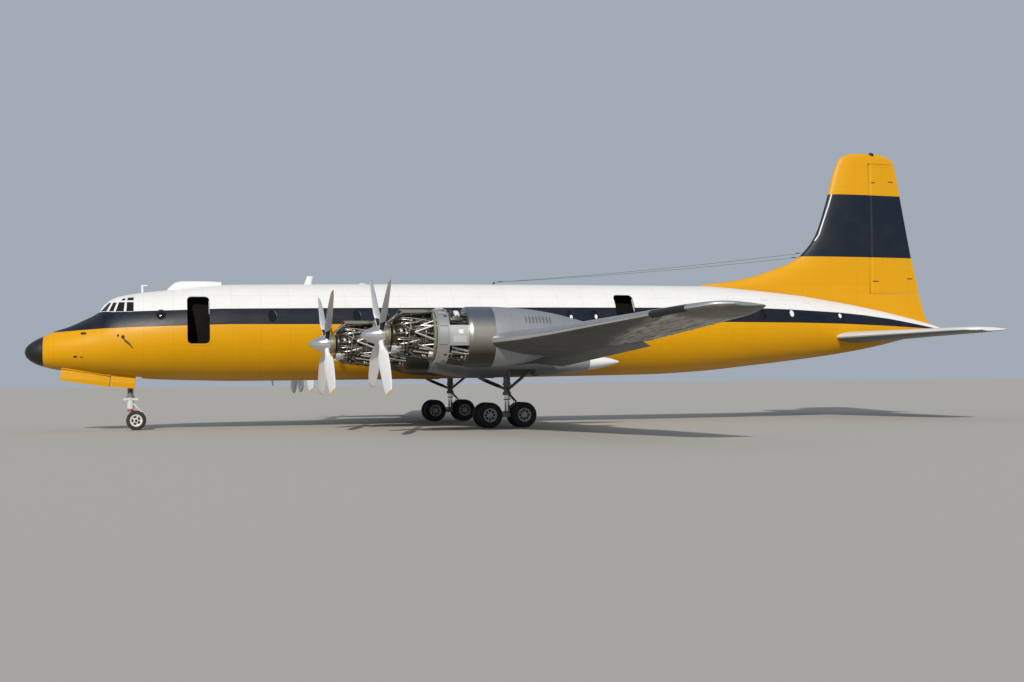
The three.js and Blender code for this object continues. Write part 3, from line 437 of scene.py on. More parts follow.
def front_station(span, height):
    """Where the windscreen's skin is that far from the middle."""
    low, high = 2.2, 3.6
    for _ in range(40):
        middle = (low + high) / 2
        if height >= body_curve(middle)[0]:
            low = middle
            continue
        if abs(body_point(middle, body_angle(middle, height)).y) / SCALE < span:
            low = middle
        else:
            high = middle
    return (low + high) / 2


def body_stations():
    nose = spread(FUSELAGE[0][0], 5.0, 62)
    cabin = spread(5.0, 26.0, 84)[1:]
    tail = spread(26.0, LENGTH, 70)[1:]
    return nose + cabin + tail


BODY_SIDES = 112


def body_ring(station):
    return [body_point(station, angle) for angle in turns(BODY_SIDES, 0.5)]


def nose_cap():
    joint, joint_height = FUSELAGE[0][0], FUSELAGE[0][2]
    curve = Fair(RADOME)
    rings = []
    for share in spread(0.0, 1.0, 26):
        station = joint * share ** 1.8
        middle = NOSE_TIP + (joint_height - NOSE_TIP) * station / joint
        radius = max(curve(station)[0], 0.002)
        rings.append([place(station, radius * cos(a), middle + radius * sin(a)) for a in turns(64, 0.5)])
    return Shape(rings)


def doorway_outline(reach=0.0, steps=6):
    """A doorway's round-cornered outline, grown by a reach: (along, up) from its lower front corner."""
    width, height = DOORWAY["width"] + 2 * reach, DOORWAY["height"] + 2 * reach
    corner = DOORWAY["corner"] + reach
    points = []
    for cx, cz, start in (
        (width - corner, corner, -90), (width - corner, height - corner, 0),
        (corner, height - corner, 90), (corner, corner, 180),
    ):
        for k in range(steps + 1):
            angle = radians(start + 90 * k / steps)
            points.append((cx + corner * cos(angle), cz + corner * sin(angle)))
    return points


INTERIOR = 1
GLASS = 2


def doorway_cutter(station, sill):
    outline = doorway_outline()
    return Shape([[place(station + s, span, sill + z) for s, z in outline] for span in (0.8, 2.2)], INTERIOR)


BODY_HALF = 1.83
UNDER_BAYS = 1.0


def lobby_cutter(station, sill):
    """The room behind a doorway, inside the wall."""
    front, back = station - 0.04, station + DOORWAY["width"] + DOORWAY["aft"] + 0.04
    low, high = sill - 0.03, sill + DOORWAY["height"] + 0.03
    inner = BODY_HALF - DOORWAY["depth"]
    rings = []
    for s in spread(front, back, 8):
        ring = [place(s, inner, low)]
        for z in spread(low, high, 12):
            point = skin_point(s, z, PORT, -DOORWAY["wall"])
            ring.append(Vector((point.x, max(point.y, (inner + 0.02) * SCALE), z * SCALE)))
        rings.append(ring + [place(s, inner, high)])
    return Shape(rings, INTERIOR)


def bay_cutter(front, back, middle, half, roof):
    shape = Shape()
    shape.block(place(front, middle - half, UNDER_BAYS), place(back, middle + half, roof), INTERIOR)
    return shape


def pane_cutter(outline, depth=0.022, proud=0.05):
    """A shallow prism whose floor is glass. outline gives points of the skin and their directions out."""
    shape = Shape()
    outer = [point + out * (proud * SCALE) for point, out in outline]
    floor = [point - out * (depth * SCALE) for point, out in outline]
    middle = sum((p for p in floor), Vector()) / len(floor)
    first, second = shape.add(outer), shape.add(floor)
    hub = shape.add([middle])
    count = len(outline)
    for i in range(count):
        j = (i + 1) % count
        shape.face((first + i, first + j, second + j, second + i), INTERIOR)
        shape.face((second + i, second + j, hub), GLASS)
    shape.face(tuple(first + i for i in range(count)), INTERIOR)
    return shape


def with_directions(points):
    """Skin points with the direction out, taken from the axis of the fuselage at their station."""
    rows = []
    for point in points:
        station = LENGTH / 2 - point.x / SCALE
        _, widest, _, _ = body_curve(station)
        out = Vector((0, point.y, point.z - widest * SCALE)).normalized()
        rows.append((point, out))
    return rows


def quad_outline(corners, steps=4):
    points = []
    for (s0, z0), (s1, z1) in zip(corners, corners[1:] + corners[:1]):
        for k in range(steps):
            t = k / steps
            points.append((s0 + (s1 - s0) * t, z0 + (z1 - z0) * t))
    return points


# Side panes of the flight deck: corners as station and height
SIDE_PANES = [
    [(2.66, 4.37), (2.90, 4.37), (3.06, 4.70), (2.96, 4.70)],
    [(2.96, 4.36), (3.14, 4.36), (3.26, 4.71), (3.12, 4.71)],
    [(3.20, 4.35), (3.50, 4.35), (3.54, 4.72), (3.32, 4.72)],
    [(3.58, 4.35), (3.85, 4.35), (3.85, 4.72), (3.60, 4.72)],
    [(3.39, 4.77), (3.54, 4.77), (3.56, 4.87), (3.46, 4.86)],
    [(3.60, 4.77), (3.85, 4.77), (3.85, 4.91), (3.63, 4.90)],
]
# Front panes: corners as span and height
FRONT_PANES = [[(0.04, 4.44), (0.36, 4.43), (0.27, 4.66), (0.04, 4.68)]]
WINDOW = {"first": 7.74, "pitch": 1.048, "width": 0.31, "height": 0.42}
# Window places that are glazed, and of these two with a white spot in the glass that is a painted highlight;
# the rest are plated over
GLAZED = (1, 4, 5, 7, 8, 10, 12, 13, 15, 17, 18, 20)
TAIL_WINDOWS = [(30.12, 4.37, 0.22, 0.30), (32.52, 4.30, 0.18, 0.22)]
GLASS_GLINTS = [(20.38, 4.17, 0.14, 0.20), (21.41, 4.19, 0.14, 0.20)]
WINDOW_HEIGHT = [(7.74, 4.17), (11.92, 4.18), (20.3, 4.22), (29.95, 4.30)]
BUBBLE = {"station": 4.81, "height": 4.23, "radius": 0.155}


def cabin_windows():
    """Station, height, width and height of every oval window."""
    rows = []
    for k in GLAZED:
        station = WINDOW["first"] + WINDOW["pitch"] * k
        rows.append((station, between(WINDOW_HEIGHT, station)[0], WINDOW["width"], WINDOW["height"]))
    return rows + TAIL_WINDOWS


def oval_outline(station, height, width, tall, side, grow=0.0):
    """An oval on the skin, as skin points."""
    return [skin_point(station + (width / 2 + grow) * cos(a), height + (tall / 2 + grow) * sin(a), side)
            for a in turns(20)]


def window_outlines():
    """Every pane of the fuselage as skin points with directions."""
    panes = []
    for side in SIDES:
        for corners in SIDE_PANES:
            points = [skin_point(s, z, side) for s, z in quad_outline(corners)]
            panes.append(with_directions(points))
        for corners in FRONT_PANES:
            points = []
            for y, z in quad_outline(corners):
                point = skin_point(front_station(y, z), z, PORT)
                points.append(Vector((point.x, side * point.y, point.z)))
            panes.append(with_directions(points))
        for station, height, width, tall in cabin_windows():
            panes.append(with_directions(oval_outline(station, height, width, tall, side)))
    return panes


def fuselage_skin():
    glass = Shape()
    for pane in window_outlines():
        glass.join(pane_cutter(pane))
    cutters = [bay_cutter(NOSE_BAY["front"], NOSE_BAY["back"], 0, NOSE_BAY["half"], NOSE_BAY["roof"])]
    for station, sill in DOORS:
        cutters += [lobby_cutter(station, sill), doorway_cutter(station, sill)]
    return cut(Shape([body_ring(station) for station in body_stations()]), cutters + [glass], "fuselage_skin")


def pane_frames():
    """Thin rims around the panes, painted on the flight deck and dark in the cabin, white discs in the tail
    windows, and white spots in two cabin windows that are painted highlights.
    """
    shape = Shape()
    flight_deck = len(SIDE_PANES) + len(FRONT_PANES)
    each_side = flight_deck + len(cabin_windows())
    for number, pane in enumerate(window_outlines()):
        mark = 0 if number % each_side < flight_deck else 1
        shape.tube([point + out * (0.001 * SCALE) for point, out in pane], 0.010, 6, mark, closed=True)
    for side in SIDES:
        # White discs in the tail windows, and in two cabin windows white spots that are painted highlights
        for station, height, width, tall in TAIL_WINDOWS + GLASS_GLINTS:
            outline = with_directions(oval_outline(station, height, width, tall, side, -0.012))
            shape.skin([[point - out * (deep * SCALE) for point, out in outline] for deep in (0.004,
                                                                                              0.018)], 2)
    return shape


# Wing and tail surfaces


def half_thickness(share, thickness):
    root = 0.2969 * sqrt(share)
    return 5 * thickness * (root - 0.126 * share - 0.3516 * share**2 + 0.2843 * share**3 - 0.1015 * share**4)


CHORD_STEPS = 22
SHARES = [(1 - cos(pi * i / CHORD_STEPS)) / 2 for i in range(CHORD_STEPS + 1)]


def both_faces(at, shares=SHARES):
    """A ring around a section: at gives a point by its share of the chord, above (1) or below (-1)."""
    return [at(share, 1) for share in reversed(shares)] + [at(share, -1) for share in shares[1:]]


def surface_ring(section, span):
    lead, trail, lead_z, trail_z, thickness = section
    chord = trail - lead

    def at(share, side):
        half = half_thickness(share, thickness) * chord + TRAILING * share
        return place(lead + chord * share, span, lead_z + (trail_z - lead_z) * share + side * half)

    return both_faces(at)


def surface_sections(table, straight_rows):
    """Rings along a surface: straight as far as the last straight row, then a fair round tip."""
    spans = []
    for a, b in zip(table[:straight_rows], table[1:straight_rows]):
        spans += spread(a[0], b[0], max(2, int((b[0] - a[0]) / 0.4)))[:-1]
    rows = [(span, between(table, span)) for span in spans]
    tip = Fair(table[straight_rows - 1:])
    inner, outer = table[straight_rows - 1][0], table[-1][0]
    for share in spread(0.0, 1.0, 12):
        span = inner + (outer - inner) * sin(share * pi / 2)
        rows.append((span, tip(span)))
    return rows


def hinge_at(table, span, share):
    lead, trail, lead_z, trail_z, thickness = between(table, span)
    chord = trail - lead
    half = half_thickness(share, thickness) * chord + TRAILING
    return lead + chord * share, lead_z + (trail_z - lead_z) * share, half


def bay_behind(table, inner, outer, share):
    """The room of a hinged surface behind a fixed one."""
    rings = []
    for span in (inner - END_GAP, outer + END_GAP):
        station, height, half = hinge_at(table, span, share)
        front, back = station - half - RUNNING_GAP, between(table, span)[1] + 1
        rings.append([place(s, span, height + up) for s,
                      up in ((front, -1), (back, -1), (back, 1), (front, 1))])
    return Shape(rings, INTERIOR)


# The facet just under each leading edge is near white: a joint strip there, coloured as its shine, which is a
# painted highlight
SKIN, DARK, BOOT_MARK, UNDERSIDE, NOSE_STRIP_HIGHLIGHT = range(5)
BARREL_MARK = CONE_MARK = 2


def wing_panel(side):
    rows = surface_sections(WING, 3)
    first, last, reach = BOOT
    chord_share = SHARES[::-1] + SHARES[1:]

    def mark(r, i):
        span = (rows[r][0] + rows[r + 1][0]) / 2 if r + 1 < len(rows) else rows[r][0]
        share = max(chord_share[i], chord_share[(i + 1) % len(chord_share)])
        if first < span < last and share < reach * 1.3:
            return BOOT_MARK
        if i < len(SHARES) - 1:
            return SKIN
        return NOSE_STRIP_HIGHLIGHT if i == len(SHARES) - 1 else UNDERSIDE

    shape = Shape([surface_ring(section, span) for span, section in rows], mark)
    return cut(shape, [bay_behind(WING, *bay) for bay in FLAP_BAYS], f"wing_skin_{SIDES[side]}", side)


# Side of each nacelle: span there, span where its fillet fades out
FILLETS = [(10.93, 13.0), (9.07, 7.4), (5.62, 7.0), (3.83, 2.6)]
FILLET_REACH = 0.20
FILLET_CHORD = 0.42
# The glove's nose faces get the same near-white painted highlight
GLOVE_TOP, GLOVE_UNDER, GLOVE_NOSE = range(3)


def wing_fillets(side):
    """Gloves that carry the leading edge ahead beside the nacelles."""
    shape = Shape()
    shares = [share for share in SHARES if share < FILLET_CHORD]
    nose = len(shares) - 1
    for root, end in FILLETS:
        rings = []
        for share in spread(0, 1, 14):
            span = root + (end - root) * share
            lead, trail, lead_z, trail_z, thickness = between(WING, span)
            chord, ahead = trail - lead, FILLET_REACH * (1 - share) ** 1.6

            def at(along, face):
                fade = max(0.0, 1 - along / FILLET_CHORD)
                half = half_thickness(along, thickness) * chord + 0.006 * fade
                return place(lead + chord * along - ahead * fade**2, side * span,
                             lead_z + (trail_z - lead_z) * along + face * half)

            rings.append(both_faces(at, shares))
        shape.skin(rings, lambda r, i: GLOVE_TOP if i < nose else GLOVE_NOSE if i == nose else GLOVE_UNDER)
    return shape


def tail_panel(side):
    inner, outer, hinge = ELEVATOR["inner"], ELEVATOR["outer"], ELEVATOR["station"]
    lead, trail, _, _, thickness = between(TAILPLANE, inner)
    share = (hinge - lead) / (trail - lead)
    front = hinge - half_thickness(share, thickness) * (trail - lead) - RUNNING_GAP
    room = Shape()
    room.block(place(front, inner - RUNNING_GAP, 2.5), place(BEHIND, outer + RUNNING_GAP, 4.5), INTERIOR)
    shape = Shape([surface_ring(section, span) for span, section in surface_sections(TAILPLANE, 2)])
    return cut(shape, [room], f"tailplane_skin_{SIDES[side]}", side)


fin_curve = Fair(FIN)


def fin_skin():
    heights = spread(3.90, 4.40, 12)[:-1] + spread(4.40, 5.60, 6)[:-1]
    heights += spread(5.60, FIN_KNEE, 26)[:-1] + spread(FIN_KNEE, RUDDER["top"], 22)[:-1]
    heights += [RUDDER["top"] + 0.43 * sin(share * pi / 2) for share in spread(0, 1, 12)]
    rings = []
    for z in heights:
        lead, trail, thickness = fin_curve(z)
        chord = trail - lead
        rings.append(both_faces(lambda share, side: place(
            lead + chord * share, side * (half_thickness(share,
                                                         thickness / chord) * chord + TRAILING * share), z)))
    lead, trail, thickness = fin_curve(FIN_KNEE)
    chord = trail - lead
    share = (RUDDER["station"] - lead) / chord
    front = RUDDER["station"] - half_thickness(share, thickness / chord) * chord - TRAILING - RUNNING_GAP
    room = Shape()
    room.block(place(front, -1, RUDDER["bottom"] - RUNNING_GAP),
               place(BEHIND, 1, RUDDER["top"] + RUNNING_GAP), INTERIOR)
    return cut(Shape(rings), [room], "fin_skin")


# Nacelles, engines and propellers

rear_curve = Fair(NACELLE_REAR)
pod_curve = Fair(GEAR_POD)
FORWARD = Vector((1, 0, 0))
AFT = Vector((-1, 0, 0))
DOWN = Vector((0, 0, -1))


def oval(station, span, top, bottom, half):
    middle = (top + bottom) / 2
    return [place(station, span + half * cos(a), middle + (top - middle) * sin(a)) for a in turns(72, 0.5)]


def flap_room(inner, outer, share):
    """The room that a flap needs, up to just over its upper skin."""
    rings = []
    for span in (inner - END_GAP, outer + END_GAP):
        station, height, half = hinge_at(WING, span, share)
        _, trail, _, trail_z, _ = between(WING, span)
        front, over = station - half - RUNNING_GAP, half + RUNNING_GAP
        rows = (
            (front, height - 2), (trail + 1, height - 2), (trail + 1, trail_z + 0.03),
            (trail, trail_z + 0.03), (station + half, height + over + 0.03), (front, height + over + 0.03),
        )
        rings.append([place(s, span, z) for s, z in rows])
    return Shape(rings, DARK)


def nacelle_skin(key, side):
    span, disc, height, _ = ENGINES[key]
    steps = spread(NACELLE_REAR[0][0], NACELLE_REAR[-1][0], 60)
    rings = []
    for aft in steps:
        top, bottom, half = rear_curve(aft)
        rings.append(oval(disc + aft, span, height + top, height + bottom, half))
    shape = Shape(rings, lambda r, i: BARREL_MARK if steps[r + 1] < BARREL["back"] + 0.04 else SKIN)
    aft, top, bottom, _ = NACELLE_REAR[-1]
    pipe = Shape()
    end = place(disc + aft, span, height + (top + bottom) / 2 + 0.04)
    pipe.turn([(-0.4, EXHAUST["radius"]), (EXHAUST["depth"], EXHAUST["radius"])], end, FORWARD, DARK, 40)
    return cut(shape, [flap_room(*bay) for bay in FLAP_BAYS[:2]] + [pipe],
               f"nacelle_skin_{SIDES[side]}_{key}", side)


def pod_skin(side):
    span, roof = ENGINES["inner"][0], MAIN_BAY["roof"]
    stations = spread(GEAR_POD[0][0], GEAR_POD[-1][0], 64)
    shape = Shape([oval(station, span, *pod_curve(station)) for station in stations],
                  lambda r, i: CONE_MARK if stations[r] > POD_CONE else SKIN)
    tools = [bay_cutter(MAIN_BAY["front"], MAIN_BAY["back"], span, MAIN_BAY["half"], roof),
             bay_cutter(SIDE_GAP["front"], SIDE_GAP["back"], span + SIDE_GAP["inner"] + 0.5, 0.5, roof)]
    return cut(shape, tools + [flap_room(*bay) for bay in FLAP_BAYS[:2]], f"pod_skin_{SIDES[side]}", side)


def around(aft, radius, degrees):
    """A point about the ring cowl's axis, from the disc aft, in model metres."""
    angle = radians(degrees)
    return Vector((-aft, radius * cos(angle), radius * sin(angle) - COWL_RING["drop"])) * SCALE


def shell_arc(shape, aft0, aft1, outer, inner, start, end, mark, steps=18):
    """A curved plate about the shaft."""
    shape.skin([
        [around(aft, radius, degrees) for aft, radius in ((aft0, inner), (aft0, outer), (aft1, outer),
                                                          (aft1, inner))]
        for degrees in spread(start, end, steps)
    ], mark)


def strut(shape, start, end, girth, mark):
    """A bar between two (aft, radius, degrees) places about the shaft."""
    shape.tube([around(*start), around(*end)], girth, 12, mark)


def cowling():
    """Ring cowl, side panels and trims of one engine, about its shaft line."""
    shape = Shape()
    front, back, outer, inner = (COWL_RING[key] for key in ("front", "back", "outer", "inner"))
    profile = [
        (front, inner + 0.02), (front - 0.012, (outer + inner) / 2), (front + 0.01, outer - 0.015),
        (front + 0.035, outer + 0.006), (front + 0.07, outer + 0.006), (front + 0.075, outer),
        (back - 0.075, outer), (back - 0.07, outer + 0.006), (back, outer + 0.006), (back, inner + 0.01),
        (back - 0.05, inner), (front + 0.08, inner),
    ]
    shape.turn(profile, around(0, 0, 0), AFT, 0, 96, closed=True)
    plate = lambda aft0, aft1, high, low, middle, half, mark, steps: shell_arc(
        shape, aft0, aft1, outer + high, outer + low, middle - half, middle + half, mark, steps)
    for degrees in (20, 88, 160, 200, 272, 340):
        plate(front + 0.075, back - 0.075, 0.004, -0.01, degrees, 0.5, 1, 2)
    for middle in (0, 180):
        shell_arc(shape, back - 0.01, BARREL["front"] + 0.02, outer, outer - 0.05, middle - 22, middle + 22,
                  2)
        shell_arc(shape, back + 0.10, back + 0.52, outer + 0.010, outer - 0.01, middle - 15, middle - 1, 3)
    for degrees in (52, 74, 88, 106, 128):
        for aft in (front + 0.09, back - 0.11):
            plate(aft - 0.02, aft + 0.02, 0.035, -0.01, degrees, 1.2, 3, 3)
        plate(front + 0.07, back - 0.09, 0.048, 0.030, degrees, 0.9, 3, 3)
    for middle, toward in ((0, 1), (180, -1)):
        low, high = sorted((middle + toward * 3, middle + toward * 12))
        shell_arc(shape, back + 0.28, back + 0.42, outer + 0.022, outer, low, high, 4, 6)
        for dot in (2.39, 2.46):
            shape.turn([(0, 0.016), (0.02, 0.016), (0.022, 0.01)],
                       around(dot, outer + 0.01, middle + toward * 17),
                       (0, toward, 0), 4, 10)
    aft, radius = back - 0.11, outer + 0.012
    for degrees in (45, 70, 110, 135, 225, 250, 290, 315):
        shell_arc(shape, aft - 0.05, aft + 0.05, radius, radius - 0.02, degrees - 1.6, degrees + 1.6, 1, 2)
    return shape


CASING, STEEL_PIPE, BRIGHT_PIPE, COPPER, HOSE, CASTING, BRONZE, OLIVE, PALE = range(9)
ENGINE_SEED = 7


def run_through(points, steps=4):
    """A smooth run through (aft, radius, degrees) points about the shaft."""
    padded = [points[0], *points, points[-1]]
    path = []
    for a, b, c, d in zip(padded, padded[1:], padded[2:], padded[3:]):
        for k in range(steps):
            t = k / steps
            path.append([
                0.5 * (2 * q + (r - p) * t + (2 * p - 5 * q + 4 * r - s) * t * t
                       + (3 * q - p - 3 * r + s) * t**3)
                for p, q, r, s in zip(a, b, c, d)
            ])
    path.append(list(points[-1]))
    return [around(*row) for row in path]


def canister(shape, aft, radius, degrees, length, girth, mark):
    """A can lying along the shaft, with a stepped cap at each end."""
    profile = [
        (0, 0.3 * girth), (0, 0.75 * girth), (0.03, girth), (length * 0.45, girth),
        (length * 0.47, girth * 1.12), (length * 0.53, girth * 1.12), (length * 0.55, girth),
        (length - 0.03, girth), (length, 0.75 * girth), (length, 0.3 * girth),
    ]
    shape.turn(profile, around(aft, radius, degrees), AFT, mark, 14)


def pipe(shape, rng, points, marks, girths, sides):
    """A pipe through points about the shaft, of a material and a girth drawn by chance."""
    mark = rng.choice(marks)
    shape.tube(run_through(points), rng.choice(girths), sides, mark)


def engine_block():
    """The bare engine, about its shaft line: casings, cans, pipes, hoops and struts."""
    rng = random.Random(ENGINE_SEED)
    shape = Shape()
    shape.turn(ENGINE_CORE, (0, 0, 0), AFT, CASING, 48)
    for aft, radius in ((0.50, 0.47), (0.66, 0.49), (0.88, 0.535), (1.02, 0.52), (1.66, 0.50), (2.15, 0.50),
                        (2.50, 0.50)):
        flange = [(aft - 0.018, radius - 0.1), (aft - 0.018, radius), (aft + 0.018, radius),
                  (aft + 0.018, radius - 0.1)]
        shape.turn(flange, (0, 0, 0), AFT, CASTING, 48, closed=True)
    for k in range(8):
        degrees = 22.5 + 45 * k
        canister(shape, 1.06, 0.50, degrees, 0.60, 0.105, STEEL_PIPE)
        elbow = [(1.12, 0.50, degrees), (1.00, 0.53, degrees), (0.90, 0.50, degrees), (0.82, 0.42, degrees)]
        shape.tube(run_through(elbow), 0.055, 10, BRIGHT_PIPE)
    for aft, radius, girth in ((1.22, 0.640, 0.024), (1.30, 0.650, 0.014), (0.56, 0.50, 0.022),
                               (1.60, 0.690, 0.020)):
        shape.tube([around(aft, radius, d) for d in range(0, 360, 8)], girth, 8, CASTING, closed=True)
    for _ in range(64):
        start = rng.uniform(0, 360)
        twist = rng.uniform(-26, 26)
        a0, a1 = rng.uniform(0.40, 0.95), rng.uniform(1.20, 1.68)
        r0, r1 = rng.uniform(0.42, 0.54), rng.uniform(0.42, 0.74)
        middle = rng.uniform(0.54, 0.66)
        points = [
            (a0, r0, start), (a0 + 0.10, middle, start + twist * 0.1),
            ((a0 + a1) / 2, middle + rng.uniform(-0.03, 0.03), start + twist * rng.uniform(0.2, 0.8)),
            (a1 - 0.10, middle, start + twist), (a1, r1, start + twist * 1.1),
        ]
        pipe(shape, rng, points, (STEEL_PIPE, BRIGHT_PIPE, BRIGHT_PIPE, BRIGHT_PIPE, COPPER, HOSE, CASTING),
             (0.012, 0.016, 0.022, 0.030), 7)
    for _ in range(34):
        start, sweep = rng.uniform(0, 360), rng.uniform(35, 120)
        aft, radius = rng.uniform(0.45, 1.62), rng.uniform(0.52, 0.67)
        lean = rng.uniform(-0.12, 0.12)
        arc = [(aft + lean * t, radius + 0.02 * sin(6 * t), start + sweep * t) for t in spread(0, 1, 5)]
        arc = [(aft - 0.02, radius - 0.10, start - 4), *arc, (aft + lean, radius - 0.10, start + sweep + 4)]
        pipe(shape, rng, arc, (STEEL_PIPE, BRIGHT_PIPE, BRIGHT_PIPE, HOSE, COPPER), (0.010, 0.014, 0.020), 6)
    for _ in range(26):
        aft = rng.uniform(0.50, 1.45)
        canister(shape, aft, rng.uniform(0.50, 0.58), rng.uniform(0, 360), rng.uniform(0.12, 0.26),
                 rng.uniform(0.035, 0.075), rng.choice((CASTING, STEEL_PIPE, BRIGHT_PIPE, HOSE)))
    for degrees in (30, 105, 150, 210, 330):
        strut(shape, (0.95, 0.44, degrees), (1.22, 0.62, degrees), 0.030, BRIGHT_PIPE)
        strut(shape, (1.20, 0.63, degrees), (1.74, 0.785, degrees - 8), 0.030, BRIGHT_PIPE)
        strut(shape, (1.20, 0.63, degrees), (1.74, 0.785, degrees + 10), 0.026, BRIGHT_PIPE)
    for degrees in (60, 74, 88, 120, 240, 300):
        path = run_through([(0.40, 0.42, degrees), (0.58, 0.69, degrees), (1.05, 0.78, degrees),
                            (1.60, 0.85, degrees)])
        shape.tube(path, 0.024, 8, HOSE)
        for point in path[5::2]:
            shape.turn([(-0.03, 0.042), (0.03, 0.042)], point, AFT, CASTING, 10)
    shell_arc(shape, 0.62, 1.585, 0.845, 0.815, 60, 120, OLIVE)
    for degrees in (62, 118):
        strut(shape, (0.30, 0.50, degrees), (0.64, 0.82, degrees), 0.036, OLIVE)
    front_equipment(shape, rng)
    port_details(shape)
    rear_bay_pipes(shape, rng)
    lower = [(0.34, -0.30), (0.80, -0.44), (0.86, -0.66), (0.66, -0.68), (0.40, -0.52)]
    for span in (-0.16, 0.16):
        shape.slab([Vector((-aft, span, z)) * SCALE for aft, z in lower], (0, 0.02 * SCALE, 0), CASTING)
    return shape


def front_equipment(shape, rng):
    """Small boxes, stubs and short pipes crowded on the engine's front casing."""
    for _ in range(90):
        aft, degrees = rng.uniform(0.38, 1.02), rng.uniform(0, 360)
        reach = 0.40 + 0.16 * min(1.0, (aft - 0.35) / 0.4)
        foot = around(aft, reach - 0.08, degrees)
        head = around(aft + rng.uniform(-0.05, 0.05), reach + rng.uniform(0.02, 0.13),
                      degrees + rng.uniform(-4, 4))
        mark = rng.choice((CASTING, CASTING, STEEL_PIPE, BRIGHT_PIPE, HOSE))
        shape.tube([foot, head], rng.uniform(0.016, 0.048), rng.choice((6, 8, 10)), mark)
    for _ in range(60):
        start, turn_by = rng.uniform(0, 360), rng.uniform(-16, 16)
        first, length = rng.uniform(0.36, 0.55), rng.uniform(0.30, 0.55)
        lift = rng.uniform(0.50, 0.60)
        points = [
            (first, 0.40, start), (first + 0.06, lift, start + turn_by * 0.2),
            (first + length * 0.6, lift + 0.04, start + turn_by * 0.6),
            (first + length, lift - 0.04, start + turn_by),
        ]
        pipe(shape, rng, points, (BRIGHT_PIPE, BRIGHT_PIPE, STEEL_PIPE, HOSE, COPPER),
             (0.010, 0.014, 0.020), 6)


def port_details(shape):
    """Front ring, firewall, bracing and boxes, alike on both sides of an engine."""
    bevel = [(0.335, 0.20), (0.335, 0.335), (0.37, 0.39), (0.44, 0.405), (0.50, 0.40), (0.50, 0.20)]
    shape.turn(bevel, (0, 0, 0), AFT, BRONZE, 56, closed=True)
    firewall = [(1.585, 0.64), (1.585, 0.83), (1.60, 0.845), (1.655, 0.845), (1.655, 0.64)]
    shape.turn(firewall, around(0, 0, 0), AFT, OLIVE, 80, closed=True)
    braces = [
        ((1.00, 0.66, 9), (1.60, 0.76, 24), 0.038), ((1.00, 0.66, 9), (1.60, 0.76, -10), 0.038),
        ((0.97, 0.64, -49), (1.61, 0.72, -52), 0.030), ((1.15, 0.64, -38), (1.60, 0.72, -39), 0.026),
        ((2.20, 0.75, 47), (2.70, 0.80, 68), 0.036), ((2.18, 0.72, -30), (2.70, 0.79, -39), 0.040),
        ((2.18, 0.72, -44), (2.70, 0.79, -48), 0.036),
    ]
    boxes = [
        (1.47, 1.585, 0.80, 0.70, -60, -46, PALE), (0.30, 0.60, 0.58, 0.54, -70, -36, PALE),
        (2.32, 2.47, 0.82, 0.70, 54, 80, PALE), (2.20, 2.30, 0.78, 0.66, 60, 76, CASTING),
        (2.62, 2.68, 0.85, 0.55, -66, -46, BRIGHT_PIPE),
    ]
    for turned in (lambda degrees: degrees, lambda degrees: 180 - degrees):
        for (a0, r0, d0), (a1, r1, d1), girth in braces:
            strut(shape, (a0, r0, turned(d0)), (a1, r1, turned(d1)), girth, BRIGHT_PIPE)
        for a0, a1, outer, inner, d0, d1, mark in boxes:
            shell_arc(shape, a0, a1, outer, inner, *sorted((turned(d0), turned(d1))), mark, 5)
        shape.turn([(-0.05, 0.004), (-0.035, 0.036), (0, 0.052), (0.035, 0.036), (0.05, 0.004)],
                   around(2.56, 0.75, turned(-62)), AFT, PALE, 14)


def rear_bay_pipes(shape, rng):
    """Pipes and cans between the ring cowl and the barrel, over and under the side panels."""
    for _ in range(44):
        start = rng.choice((rng.uniform(28, 152), rng.uniform(208, 332)))
        r0 = rng.uniform(0.52, 0.80)
        points = [
            (1.94, r0, start), (2.18, r0 + rng.uniform(-0.05, 0.04), start + rng.uniform(-5, 5)),
            (2.44, rng.uniform(0.55, 0.82), start + rng.uniform(-9, 9)), (2.70, rng.uniform(0.5, 0.8), start),
        ]
        pipe(shape, rng, points, (BRIGHT_PIPE, BRIGHT_PIPE, STEEL_PIPE, HOSE, CASTING),
             (0.014, 0.020, 0.030, 0.042), 7)
    for _ in range(14):
        start = rng.choice((rng.uniform(30, 120), rng.uniform(210, 300)))
        aft, radius = rng.uniform(2.14, 2.60), rng.uniform(0.62, 0.80)
        arc = run_through([(aft, radius, start + d) for d in (0, 8, 16, 24, 32)])
        shape.tube(arc, rng.choice((0.012, 0.018)), 6, BRIGHT_PIPE)
    for degrees in (50, 75, 118, 232, 262, 305):
        canister(shape, 2.15, 0.66, degrees, 0.42, rng.uniform(0.05, 0.09), rng.choice((CASTING, STEEL_PIPE)))


POLISH, HUB, BLADE_FACE, CUFF, TIP, CUFF_FRONT = range(6)
BLADE_END = BLADE[-1][0]


